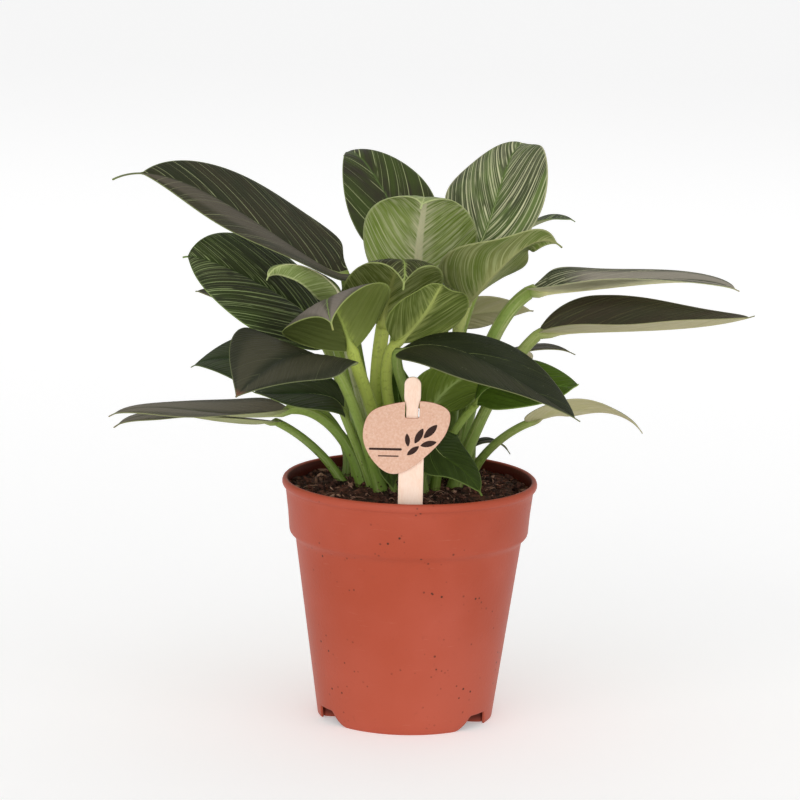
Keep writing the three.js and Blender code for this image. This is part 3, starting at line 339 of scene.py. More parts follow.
        [(0.92, -0.4, 0), (0.91, -0.42, 0)], [(20, 36, 103), (22, 59, 122), (27, 45, 156)]),
    "leaf_back_low": leaf_data(
        "shaded", 34, 1.9, [(-12, 46, 126), (-13, 68, 132), (-13, 90, 125), (-12, 106, 112)],
        [(1, 0.09, 0), (0.99, -0.16, 0)], [(-11, 36, 103), (-12, 40, 129), (-12, 42, 124)]),
}

# The colours and markings of a leaf. Upper face: ground and second ground, stripe, main and minor stripes
# (pitch and width in mm, share that is there), fade of the stripes towards the tip, finest lines (hair),
# midrib and its width. Lower face: two greens, vein colour and strength, midrib colour and width. Then
# margin and its width, tip, the colour and strength of a painted sheen (a painted grey reflection of the
# lamps), the half that it lies on (0 for both) and how far along it starts, the half of the lower face that
# is darkened with painted shade (0 for none), pale specks, how far the veins lean towards the tip, and the
# stalk's colours at its foot and at the blade.
COMMON_LOOK = dict(
    ground="2f3723", second="3a4229", stripe="76834f", main=(8.0, 0.35, 0.5), minor=(3.2, 0.2, 0.25),
    fade=0.0, hair=0.08, rib="3e492b", rib_width=0.5, under="a09f72", under_second="949a68", vein="b5b48c",
    veins=0.35, under_rib="a9b07a", under_rib_width=2.0, margin="87925a", margin_width=0.5, tip="6c7c3c",
    sheen="6e675c", painted_sheen=0.0, sheen_side=0.0, sheen_start=-1.0, shade_side=0.0, specks=0.0, lean=1.1,
    stalk=("6a8434", "98ab54"))
LOOKS = {
    # Upper left leaf: a strong painted sheen on the near half, a painted reflection of the lamps
    "old_lined": dict(
        ground="2f3321", second="3a3727", stripe="a3aa7c", main=(9.0, 0.45, 0.9),
        minor=(4.0, 0.22, 0.35), hair=0.05, rib="3a3e29", margin="7f8859", sheen="645d50", painted_sheen=0.75,
        sheen_side=-1.0),
    "dark_lined": dict(
        ground="37332a", second="414d26", stripe="b4bc88", main=(10.0, 0.55, 0.9),
        minor=(3.6, 0.2, 0.25), hair=0.03, rib="56683a", margin="8f9a68"),
    "striped": dict(
        ground="2d3320", second="36441f", stripe="abbd80", main=(5.4, 0.6, 0.92),
        minor=(2.6, 0.3, 0.6), hair=0.2, rib="35461f", under="a3a97f", margin="7f9450", painted_sheen=0.1, lean=0.9),
    "bright": dict(
        ground="434a31", second="657840", stripe="dcdcb0", main=(4.6, 0.8, 0.94),
        minor=(2.0, 0.35, 0.6), hair=0.4, rib="5f753b", rib_width=0.9, under="a3b078", margin="c2c298",
        margin_width=0.8),
    "young": dict(
        ground="77874a", second="8a985a", stripe="b9c48c", main=(4.0, 0.5, 0.8),
        minor=(1.8, 0.25, 0.5), hair=0.5, rib="b4bf80", rib_width=1.2, under="889e48", under_second="a8ba68",
        vein="e0e4b2", veins=0.95, under_rib="f4f0c6", under_rib_width=5.4, margin="bcc58c", margin_width=1.0,
        tip="8fa956", lean=0.6, stalk=("7c9440", "cfd09c")),
    "fresh": dict(
        ground="32311f", second="3f4524", stripe="9aa46a", main=(4.4, 0.6, 0.9),
        minor=(2.0, 0.25, 0.55), hair=0.3, rib="8c9c55", rib_width=1.0, under="6e7c35", under_second="7f8d42",
        vein="cbd28e", veins=0.85, under_rib="b8bf6c", under_rib_width=2.6, margin="a3ae6c", margin_width=1.0,
        lean=0.6, stalk=("9cb54c", "d8e174")),
    "low_fresh": dict(
        ground="3e3c2a", second="4c522f", stripe="9aa46a", main=(4.4, 0.55, 0.9),
        minor=(2.0, 0.25, 0.55), hair=0.3, rib="8c9c55", rib_width=1.0, under="58672a", under_second="687536",
        vein="9aa462", veins=0.85, under_rib="b6c06c", under_rib_width=3.4, margin="8f9c55", margin_width=0.7,
        lean=0.6, stalk=("8ea545", "c4d066")),
    "arching": dict(
        ground="4c4a38", second="5c623b", stripe="939c66", main=(4.0, 0.5, 0.9),
        minor=(2.0, 0.25, 0.6), rib="8c9c55", under="6a7b36", under_second="898e55", vein="b2b880", veins=0.85,
        under_rib="a9ab72", under_rib_width=3.0, margin="a6aa76", margin_width=1.0, lean=0.6,
        stalk=("829a40", "b9c074")),
    # Folded leaf: its grey ground and second ground are a painted sheen of the lamps on the upper face, and half
    # of its lower face is darkened with painted shade
    "folded": dict(
        ground="524f41", second="5d584c", stripe="7c8060", main=(8.0, 0.35, 0.4), rib="7c9450",
        under="77843f", under_second="828e4b", vein="919c5a", veins=0.3, under_rib="a5b45a",
        under_rib_width=2.0, margin="9dab60", margin_width=0.7, tip="8d5648", sheen="7d756b", painted_sheen=0.9,
        shade_side=0.65, lean=0.6, stalk=("8fa548", "cfdd6a")),
    # Right upper leaf: stripes that fade towards the tip, and a painted grey sheen that starts about a fifth of
    # the way along
    "faded": dict(
        ground="333a26", second="3f462c", stripe="d2d3a8", main=(4.6, 0.8, 0.97),
        minor=(2.2, 0.3, 0.65), fade=0.9, hair=0.2, under="e4dfb4", under_second="d4d2a4", vein="eeeac4",
        under_rib="dedba4", margin="b4b78a", tip="8f5a46", sheen="a39b8c", painted_sheen=0.85, sheen_start=0.22,
        stalk=("6d8538", "8ba04c")),
    "old_thin": dict(
        ground="3c3527", second="383926", stripe="7a7a4d", main=(9.0, 0.32, 0.7),
        minor=(4.0, 0.2, 0.3), under="b5af8a", under_second="aaa580", vein="c0b996", veins=0.2,
        under_rib="b3b080", margin="8f8f62", tip="56662f", painted_sheen=0.15, stalk=("6f8638", "8f9a55")),
    # Front right leaf: a painted sheen of the lamps on the near half, and pale specks
    "plain": dict(
        ground="262c1c", second="2e3421", main=(8.0, 0.3, 0.1), minor=(3.2, 0.2, 0.0), hair=0.02,
        rib="2b3120", margin="7a7e54", sheen="4a4836", painted_sheen=0.35, sheen_side=1.0, specks=0.7,
        stalk=("5f7830", "869a4c")),
    "shaded": dict(
        ground="29321c", second="323f24", stripe="55663c", main=(8.0, 0.3, 0.2),
        minor=(3.2, 0.2, 0.1), hair=0.05, rib="34452a", margin="6c7a48", sheen="545a42", painted_sheen=0.3,
        specks=0.5),
    "pale_under": dict(
        under="bcb78e", under_second="aeab7a", vein="c0ba94", under_rib="b0ae80",
        margin="b5b18c", tip="4c4a32", stalk=("7d9442", "97a658")),
    "deep": dict(
        ground="42581a", second="4a621e", stripe="66863a", main=(9.0, 0.35, 0.4), hair=0.1,
        rib="5c7a36", under="637729", under_second="6e8234", vein="90a25c", under_rib="9fb368",
        margin="8ba053", stalk=("677f30", "93a64e")),
    "dim": dict(
        ground="2d3a18", second="36451d", stripe="4c5f2c", main=(9.0, 0.35, 0.3), hair=0.05,
        rib="40521f", under="5c7030", under_second="68803a", margin="66783a"),
    # Front left leaf: dark ground with a painted grey sheen, a painted reflection of the lamps
    "sheened_dark": dict(
        ground="2c3022", second="35372a", stripe="5a5e44", main=(8.0, 0.35, 0.4),
        minor=(4.0, 0.2, 0.1), rib="34382a", under="8c9a65", margin="6f7650", tip="8a5c48", sheen="555240",
        painted_sheen=0.55),
    # Low left leaves: a grey-brown ground, the leaf's dark green lightened by painted sheen, and a strong
    # painted sheen, a painted reflection of the lamps
    "sheened_grey": dict(
        ground="4c4c3c", second="5a5848", stripe="757860", main=(8.0, 0.35, 0.4), rib="55553f",
        under="a0a878", margin="8f9268", tip="8a5c48", sheen="857d6e", painted_sheen=0.6),
}
LEAF_SPECK, DEEP_SHADE, STALK_MOTTLE, STALK_SCAR = "a3a895", "39421f", "4c5f24", "3a2415"

# Colours of the other pieces
STEM_COLOURS = ("6a8438", "8ba050", "a3b26a", "8ba050")
POT_COLOURS = dict(ground="a94a33", second="b25440", foot="bd5f49", scuff="cd8a74", dull="8d4636",
                   speck="4a2a1f", inside="5a241b")
SOIL_COLOURS = dict(dark="36211a", light="7a4d3e", hollow_shade="1a100c", fibre="b8917a")
WOOD_COLOURS = dict(ground="f8dcc8", grain="f3d1ba", pale="fce6d6")
CARD_COLOURS = {
    "kraft_card": dict(ground="d5a890", second="e0bba5", fleck="ac7a66"),
    # The card's edges: a darker red-brown, painted shade on the card's thickness
    "shaded_card_edge": dict(ground="a9604c", second="bd7a66", fleck="7d4030"),
    "brown_ink": dict(ground="2c1812", second="38211a", fleck="4c3026"),
}


# Colour and node helpers
def colour(text):
    """Turns six hexadecimal digits of a display colour into a linear colour."""
    channels = [int(text[start:start + 2], 16) / 255 for start in (0, 2, 4)]
    linear = [c / 12.92 if c <= 0.04045 else ((c + 0.055) / 1.055) ** 2.4 for c in channels]
    return (*linear, 1.0)


def colours(table):
    return {key: colour(value) for key, value in table.items() if isinstance(value, str)}


FINISH_SOCKETS = {"Base Color": "Color", "Roughness": "Float", "Normal": "Vector"}


class Value:
    """What a node puts out. Arithmetic on it adds math nodes to the same tree."""

    def __init__(self, nodes, socket):
        self.nodes, self.socket = nodes, socket

    def __abs__(self):
        return self.nodes.math("ABSOLUTE", self)

    def __add__(self, other):
        return self.nodes.math("ADD", self, other)

    def __sub__(self, other):
        return self.nodes.math("SUBTRACT", self, other)

    def __rsub__(self, other):
        return self.nodes.math("SUBTRACT", other, self)

    def __mul__(self, other):
        return self.nodes.math("MULTIPLY", self, other)

    def __truediv__(self, other):
        return self.nodes.math("DIVIDE", self, other)

    def scaled(self, factor, shift):
        return self.nodes.math("MULTIPLY_ADD", self, factor, shift)

    def most(self, other):
        return self.nodes.math("MAXIMUM", self, other)

    def step(self, low, high, out_low=0.0, out_high=1.0):
        """Goes smoothly from one level to another between two of its own values."""
        inputs = {"Value": self, "From Min": low, "From Max": high, "To Min": out_low, "To Max": out_high}
        return self.nodes.value("ShaderNodeMapRange", "Result", inputs, interpolation_type="SMOOTHSTEP")

    def mix(self, share, other):
        return self.nodes.mix(share, self, other)


class Nodes:
    """Adds nodes to one tree, each input given as a number, a colour or another node's value."""

    def __init__(self, tree):
        self.tree = tree

    def add(self, kind, inputs=None, **settings):
        node = self.tree.nodes.new(kind)
        for key, value in settings.items():
            setattr(node, key, value)
        for key, value in (inputs or {}).items():
            self.put(value, node.inputs[key])
        return node

    def put(self, value, socket):
        if isinstance(value, Value):
            self.tree.links.new(value.socket, socket)
        else:
            socket.default_value = value

    def value(self, kind, output=0, inputs=None, **settings):
        return Value(self, self.add(kind, inputs, **settings).outputs[output])

    def values(self, kind, inputs=None, **settings):
        """Adds a node and gives all its values by name."""
        return {socket.name: Value(self, socket) for socket in self.add(kind, inputs, **settings).outputs}

    def attribute(self, name):
        return self.value("ShaderNodeAttribute", "Fac", attribute_name=name)

    def place(self):
        return self.value("ShaderNodeTexCoord", "Object")

    def math(self, operation, *numbers):
        return self.value("ShaderNodeMath", 0, dict(enumerate(numbers)), operation=operation)

    def mix(self, share, first, second):
        return self.value("ShaderNodeMix", 2, {0: share, 6: first, 7: second}, data_type="RGBA")

    def vector(self, x, y, z):
        return self.value("ShaderNodeCombineXYZ", 0, {"X": x, "Y": y, "Z": z})

    def noise(self, place, scale=1.0, detail=2.0, roughness=0.5):
        inputs = {"Vector": place, "Scale": scale, "Detail": detail, "Roughness": roughness}
        return self.value("ShaderNodeTexNoise", "Fac", inputs)

    def spots(self, place, scale, low, high):
        cells = self.value("ShaderNodeTexVoronoi", "Distance", {"Vector": place, "Scale": scale}, feature="F1")
        return cells.step(low, high, 1.0, 0.0)

    def squeezed(self, place, x, y, z):
        return self.value("ShaderNodeMapping", 0, {"Vector": place, "Scale": (x, y, z)})

    def finish(self, result, body, roughness, height, depth):
        """Puts a colour, a roughness and a bump into the sockets of a shader or of a group's end."""
        bump = self.value("ShaderNodeBump", "Normal", {"Height": height, "Distance": depth})
        for value, label in zip((body, roughness, bump), FINISH_SOCKETS):
            self.put(value, result[label])


def node_group(name, colours, numbers):
    """Starts a node group that puts out a colour, a roughness and a normal."""
    tree = bpy.data.node_groups.new(name, "ShaderNodeTree")
    sockets = [(label, "INPUT", "Color") for label in colours]
    sockets += [(label, "INPUT", "Float") for label in numbers]
    sockets += [(label, "OUTPUT", kind) for label, kind in FINISH_SOCKETS.items()]
    for label, way, kind in sockets:
        tree.interface.new_socket(name=label, in_out=way, socket_type="NodeSocket" + kind)
    n = Nodes(tree)
    return n, n.values("NodeGroupInput"), n.add("NodeGroupOutput").inputs


def new_material(name, specular=0.5):
    material = bpy.data.materials.new(name)
    material.use_nodes = True
    material.node_tree.nodes.clear()
    n = Nodes(material.node_tree)
    shader = n.add("ShaderNodeBsdfPrincipled", {"Specular IOR Level": specular})
    n.add("ShaderNodeOutputMaterial", {"Surface": Value(n, shader.outputs["BSDF"])})
    return material, n, shader.inputs


def grouped_material(name, tree, inputs, specular):
    material, n, shader = new_material(name, specular)
    made = n.values("ShaderNodeGroup", inputs, node_tree=tree)
    for label in FINISH_SOCKETS:
        n.put(made[label], shader[label])
    return material


# Leaf blade: stripes, veins, midrib, margin, painted sheen and painted shade, from the attributes of the blade's
# mesh
def look_inputs(look):
    """What the blade's node group takes from a look: its colours, and its numbers."""
    numbers = {key: value for key, value in look.items() if isinstance(value, float) and key != "lean"}
    for key in ("main", "minor"):
        numbers |= {f"{key}_{part}": value for part, value in zip(("pitch", "width", "share"), look[key])}
    return colours(look), numbers


def make_leaf_group():
    paints, numbers = look_inputs(COMMON_LOOK)
    n, given, result = node_group("striped_leaf", paints, [*numbers, "seed"])
    along, rib, rim, vein, upper = map(n.attribute, ("along", "rib_mm", "rim_mm", "vein_mm", "upper"))
    from_rib = abs(rib)
    which_half = n.math("SIGN", rib)
    reach = from_rib / (from_rib + rim + 0.01)
    side = which_half.scaled(3.7, given["seed"])

    def streaks(pitch, length, shift, detail=1.0):
        """Soft streaks along the veins, of the given pitch and length in millimetres."""
        return n.noise(n.vector(vein / pitch, from_rib / length, side + shift), 1.0, detail)

    def hatch(pitch, width, share, length, shift):
        """Uneven lines along the veins, each with its own width, strength and breaks."""
        lane = side.scaled(7.3, shift)
        sway = streaks(16.0, 18.0, shift).scaled(3.0, vein)
        cell = n.values("ShaderNodeTexVoronoi", {"W": sway / pitch + lane, "Scale": 1.0, "Randomness": 0.85},
                        voronoi_dimensions="1D", feature="F1")
        chance = n.values("ShaderNodeSeparateColor", {"Color": cell["Color"]})
        there = n.math("LESS_THAN", chance["Red"], share)
        breaks = n.noise(n.vector(from_rib / length, chance["Green"] * 37.0, chance["Blue"] * 53.0), 1.0, 2.0)
        size = reach.scaled(-0.55, 1.15) * width * (chance["Green"] + 0.5)
        away = cell["Distance"] * pitch / size
        line = away.step(0.25, 1.0, 1.0, 0.0) * there * breaks.step(0.36, 0.48)
        return line * chance["Blue"].scaled(0.5, 0.5)

    place = n.place()
    cloud = n.noise(place, 45.0, 3.0, 0.6)

    def upper_face():
        kept = 1.0 - given["fade"] * along
        main = hatch(given["main_pitch"], given["main_width"], given["main_share"] * kept, 9.0, 0.0)
        minor = hatch(given["minor_pitch"], given["minor_width"], given["minor_share"] * kept, 5.0, 23.0)
        hair = streaks(0.55, 14.0, 61.0, 2.0).step(0.45, 0.75) * given["hair"]
        face = n.mix((cloud + streaks(7.0, 30.0, 5.0, 2.0)).step(0.75, 1.25), given["ground"], given["second"])
        face = face.mix(hair * 0.5, given["stripe"])
        face = face.mix(main.most(minor * 0.75) * 0.95, given["stripe"])

        rib_share = from_rib / (given["rib_width"] * along.scaled(-0.85, 1.1))
        feather = rib_share.step(1.0, 4.0, 0.55, 0.0) * streaks(1.6, 9.0, 71.0).step(0.4, 0.6)
        face = face.mix(feather, given["rib"]).mix(rib_share.step(0.4, 1.0, 0.95, 0.0), given["rib"])

        # Painted sheen: a grey reflection of the lamps painted over a band of the upper face, on one half or on
        # both, from a given share along the blade
        on_half = (1.0 - abs(given["sheen_side"])).most(given["sheen_side"] * which_half)
        band = reach + n.noise(place, 14.0, 1.0).scaled(0.4, -0.2)
        past_start = n.noise(place, 60.0).scaled(0.12, along) - given["sheen_start"]
        painted_sheen_mask = band.step(0.0, 0.25) * band.step(0.6, 0.85, 1.0, 0.25) * on_half * given["painted_sheen"]
        face = face.mix(painted_sheen_mask * past_start.step(0.0, 0.22), given["sheen"])
        specks = n.spots(place, 330.0, 0.05, 0.12) * n.noise(place, 90.0).step(0.5, 0.62)
        return face.mix(specks * given["specks"], colour(LEAF_SPECK))

    def lower_face():
        veins = hatch(3.0, 0.55, 0.85, 12.0, 47.0).most(hatch(1.4, 0.3, 0.8, 8.0, 53.0) * 0.6)
        veins = veins.most(streaks(2.4, 11.0, 31.0, 2.0).step(0.48, 0.72, 0.0, 0.8))
        patches = (cloud + streaks(5.0, 22.0, 83.0, 2.0)).step(0.75, 1.3)
        back = n.mix(patches, given["under"], given["under_second"])
        back = back.mix(veins * given["veins"], given["vein"])
        back_share = from_rib / (given["under_rib_width"] * along.scaled(-0.5, 0.6))
        glow = back_share.step(0.8, 4.0, 0.7, 0.0) * streaks(2.2, 12.0, 97.0, 2.0).step(0.35, 0.65)
        back = back.mix(glow, given["under_rib"]).mix(back_share.step(0.5, 1.0, 0.9, 0.0), given["under_rib"])
        return back.mix((given["shade_side"] * which_half).most(0.0), colour(DEEP_SHADE))

    both = n.mix(upper, lower_face(), upper_face()).mix(along.step(0.95, 0.995, 0.0, 0.8), given["tip"])
    both = both.mix((rim / given["margin_width"]).step(0.4, 1.2, 0.75, 0.0), given["margin"])
    gloss = cloud.scaled(0.14, upper.scaled(-0.14, 0.5))
    quilt = n.math("SINE", vein * (2 * FULL_TURN / QUILT_PITCH)) * from_rib.step(0.5, 6.0, 0.0, 0.35)
    height = streaks(1.1, 16.0, 67.0, 2.0).scaled(1.6, quilt) + cloud
    n.finish(result, both, given["painted_sheen"].scaled(0.1, gloss), height, 0.0002)
    return n.tree


# Leaf stalk: streaks along it, paler towards the blade, brown spots near its foot
STALK_PAINTS = ("low", "high", "streak", "ridge")


def make_stalk_group():
    n, given, result = node_group("leaf_stalk", STALK_PAINTS, ("spots", "seed"))
    run, share, turn = map(n.attribute, ("run_mm", "along", "turn"))
    across, deep = n.math("COSINE", turn), n.math("SINE", turn)

    def skin(stretch):
        """A place on the stalk's skin, with the pattern stretched along the stalk."""
        return n.vector(across, deep, run.scaled(stretch, given["seed"]))

    streaks = n.noise(n.vector(across * 2.4, deep * 2.4, run.scaled(0.03, given["seed"])), 1.0, 3.0, 0.6)
    body = n.mix(share.step(0.05, 0.75), given["low"], given["high"])
    body = body.mix(streaks.step(0.45, 0.72, 0.0, 0.5), given["streak"])
    mottle = n.noise(skin(0.35), 1.6, 3.0, 0.6)
    body = body.mix(mottle.step(0.5, 0.75, 0.0, 0.35), colour(STALK_MOTTLE))
    sparse = n.noise(skin(0.12), 2.0, 1.0).step(0.46, 0.56) * run.step(20.0, 42.0, 1.0, 0.0)
    scars = n.spots(skin(0.3), 1.3, 0.16, 0.26) * sparse
    body = body.mix(scars * given["spots"], colour(STALK_SCAR))
    body = body.mix(n.attribute("ridge"), given["ridge"])
    n.finish(result, body, streaks.scaled(0.2, 0.34), streaks, 0.0003)
    return n.tree


leaf_group = make_leaf_group()
stalk_group = make_stalk_group()


def leaf_material(name, look, seed):
    paints, numbers = look_inputs(look)
    return grouped_material(name, leaf_group, {**paints, **numbers, "seed": seed}, 0.08)


def stalk_material(name, paints, spots, seed):
    inputs = dict(zip(STALK_PAINTS, map(colour, paints)), spots=spots, seed=seed)
    return grouped_material(name, stalk_group, inputs, 0.2)


# Mesh helpers
def finished_mesh(bm, name):
    mesh = bpy.data.meshes.new(name)
    bm.to_mesh(mesh)
    bm.free()
    return mesh


def make_mesh(bm, name, flat=False):
    """Turns a bmesh in millimetres round the pot's axis into a mesh in the frame's metres."""
    bmesh.ops.transform(bm, matrix=TO_METRES, verts=bm.verts)
    for face in bm.faces:
        face.smooth = not flat
    return finished_mesh(bm, name)


def set_places(mesh, points):
    """Moves the mesh's points to places in millimetres round the pot's axis."""
    mesh.vertices.foreach_set("co", ((np.asarray(points) + POT_AXIS) * MM).ravel())
    mesh.update()


def get_places(mesh):
    places = np.empty(3 * len(mesh.vertices))
    mesh.vertices.foreach_get("co", places)
    return places.reshape(-1, 3)


def set_values(mesh, values):
    for key, value in values.items():
        layer = mesh.attributes.new(key, "FLOAT", "POINT")
        layer.data.foreach_set("value", np.asarray(value, float).ravel())


def add_object(name, data):
    made = bpy.data.objects.new(name, data)
    bpy.context.scene.collection.objects.link(made)
    return made


def add_piece(name, mesh, materials, node=None):
    for material in materials:
        mesh.materials.append(material)
    piece = add_object(name, mesh)
    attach(piece, "root")
    if node:
        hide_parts(node)


def new_points(made):
    return [item for item in made["geom"] if isinstance(item, bmesh.types.BMVert)]


def spun_shell(profile, sides):
    """A shell turned from its section, given as distances from the axis and heights."""
    bm = bmesh.new()
    points = [bm.verts.new(point) for point in profile]
    edges = [bm.edges.new(pair) for pair in zip(points, points[1:])]
    bmesh.ops.spin(bm, geom=points + edges, cent=(0, 0, 0), axis=(0, 0, 1), angle=FULL_TURN, steps=sides,
                   use_merge=True)
    bmesh.ops.remove_doubles(bm, verts=bm.verts, dist=WELD_DISTANCE)
    bmesh.ops.recalc_face_normals(bm, faces=bm.faces)
    return bm


def unit(vectors):
    vectors = np.asarray(vectors, float)
    return vectors / np.maximum(np.linalg.norm(vectors, axis=-1, keepdims=True), 1e-9)


def bell(values, reach):
    return np.exp(-(values / reach) ** 2)


def travelled(path):
    """How far each point of a path lies from its start, along the path."""
    return np.concatenate([[0], np.cumsum(np.linalg.norm(np.diff(path, axis=0), axis=1))])


def bezier(handles, t):
    a, b, c, d = np.asarray(handles, float)
    t = np.asarray(t, float)[..., None]
    return (1 - t) ** 3 * a + 3 * (1 - t) ** 2 * t * b + 3 * (1 - t) * t ** 2 * c + t ** 3 * d


def bezier_slope(handles, t):
    a, b, c, d = np.asarray(handles, float)
    t = np.asarray(t, float)[..., None]
    return 3 * (1 - t) ** 2 * (b - a) + 6 * (1 - t) * t * (c - b) + 3 * t ** 2 * (d - c)


def handles_through(points):
    """The cubic curve that passes through four points at thirds of its run."""
    a, b, c, d = np.asarray(points, float)
    return [a, (-5 * a + 18 * b - 9 * c + 2 * d) / 6, (2 * a - 9 * b + 18 * c - 5 * d) / 6, d]


def tube_form(bm, sides, rings, bottom):
    """Adds a closed tube of radius 1 and height 1, cut into rings, standing at the given height."""
    made = bmesh.ops.create_cone(bm, cap_ends=True, segments=sides, radius1=1, radius2=1, depth=1,
                                 matrix=Matrix.Translation((0, 0, bottom + 0.5)))
    edges = {edge for vert in made["verts"] for edge in vert.link_edges}
    upright = [edge for edge in edges if abs(edge.verts[0].co.z - edge.verts[1].co.z) > 0.5]
    bmesh.ops.subdivide_edges(bm, edges=upright, cuts=rings - 1)


def along_path(form, path, radii, rings):
    """Places of a unit tube's points when its rings follow a path with one radius for each ring."""
    ring = np.rint(form[:, 2] * rings).astype(int)
    turn = np.arctan2(form[:, 1], form[:, 0])
    slope = unit(np.gradient(path, axis=0))
    across = [unit(np.cross(slope[0], (0.3, 1.0, 0.2)))]
    for direction in slope[1:]:
        across.append(unit(across[-1] - np.dot(across[-1], direction) * direction))
    across = np.array(across)
    other = np.cross(slope, across)
    spread = np.cos(turn)[:, None] * across[ring] + np.sin(turn)[:, None] * other[ring]
    return path[ring] + np.asarray(radii)[ring][:, None] * spread, ring, turn


# Leaves
def half_width(leaf, t):
    widest, base, tip, _, tail = leaf["shape"]
    run = np.clip(t / (1 - tail), 0, 1)
    rising = np.sin(math.pi / 2 * np.clip(run / widest, 0, 1)) ** base
    falling = np.cos(math.pi / 2 * np.clip((run - widest) / (1 - widest), 0, 1)) ** tip
    return np.maximum(leaf["width"] / 2 * np.where(run < widest, rising, falling), TIP_HALF_WIDTH)


def blade_surface(leaf, t, s):
    """Points of the blade and their upward directions; s runs from -1 to 1 across the blade."""
    middle = bezier(leaf["handles"], t)
    tangent = unit(bezier_slope(leaf["handles"], t))
    first, last = unit(leaf["side"])
    side = unit(first + (last - first) * t[..., None])
    side = unit(side - (side * tangent).sum(-1, keepdims=True) * tangent)
    up = np.cross(side, tangent)
    width = half_width(leaf, t)
    reach, sign = np.abs(s), np.sign(s)

    def of_half(base, tip):
        """Degrees at base and tip, taken from the half that a point lies on, as radians there."""
        left, right = (half[base] + (half[tip] - half[base]) * t for half in (leaf["left"], leaf["right"]))
        return np.radians(np.where(s < 0, left, right))

    fold, curl = of_half(0, 1), of_half(2, 3)
    curl = np.where(np.abs(curl) < 1e-6, 1e-3, curl)
    angle = fold + curl * reach
    outward = width * (np.sin(angle) - np.sin(fold)) / curl
    rise = width * (np.cos(fold) - np.cos(angle)) / curl
    phase = WAVE_COUNT * t + WAVE_SIDE_SHIFT * sign + leaf["phase"]
    wave = WAVE_HEIGHT * min(leaf["width"] / FULL_WAVE_WIDTH, 1) * width / (leaf["width"] / 2)
    rise = rise + wave * reach ** 2 * np.sin(FULL_TURN * phase)
    sweep = -leaf["shape"][3] * reach ** 2 * np.clip(1 - 2.2 * t, 0, 1) ** 2
    points = middle + (sign * outward)[..., None] * side + rise[..., None] * up + sweep[..., None] * tangent
    normal = unit(np.cos(angle)[..., None] * up - (sign * np.sin(angle))[..., None] * side)
    return points, normal


def make_leaf_form():
    """A flat unit blade of two layers and a unit stalk above it, which every leaf is shaped from."""
    bm = bmesh.new()
    bmesh.ops.create_grid(bm, x_segments=COLUMNS_ACROSS, y_segments=ROWS_ALONG, size=1.0)
    lower = bmesh.ops.extrude_face_region(bm, geom=bm.faces[:], use_keep_orig=True)
    bmesh.ops.translate(bm, verts=new_points(lower), vec=(0, 0, -1))
    bmesh.ops.recalc_face_normals(bm, faces=bm.faces)
    tube_form(bm, STALK_SIDES, STALK_RINGS, STALK_SHIFT)
    for face in bm.faces:
        face.smooth = True
        face.material_index = int(face.calc_center_median().z > 1)
    return finished_mesh(bm, "leaf_form")


def stalk_line(leaf):
    """Middle line and radii of the stalk, from the soil up and on as the ridge under the midrib."""
    run = np.linspace(0, 1, STALK_RINGS + 1)
    on_stalk = run <= STALK_SHARE
    share = run[on_stalk] / STALK_SHARE
    stalk = bezier([*leaf["stalk"], leaf["rib"][0]], share)
    radius = leaf["radius"] * (1.12 - 0.1 * share + STALK_FLARE * bell(share, STALK_FLARE_REACH))
    past = (run[~on_stalk] - STALK_SHARE) / (1 - STALK_SHARE)
    ridge_run = RIDGE_START + (RIDGE_END - RIDGE_START) * past
    under, up = blade_surface(leaf, ridge_run, np.full_like(ridge_run, NEARLY_MIDDLE))
    ridge_radius = leaf["radius"] * (0.16 + 0.84 * np.exp(-(ridge_run - RIDGE_START) / 0.05))
    ridge_radius = ridge_radius * (1 - ridge_run / RIDGE_END) ** 0.6 + 0.1
    ridge = under - up * (ridge_radius * 0.8)[:, None]
    return np.concatenate([stalk, ridge]), np.concatenate([radius, ridge_radius])


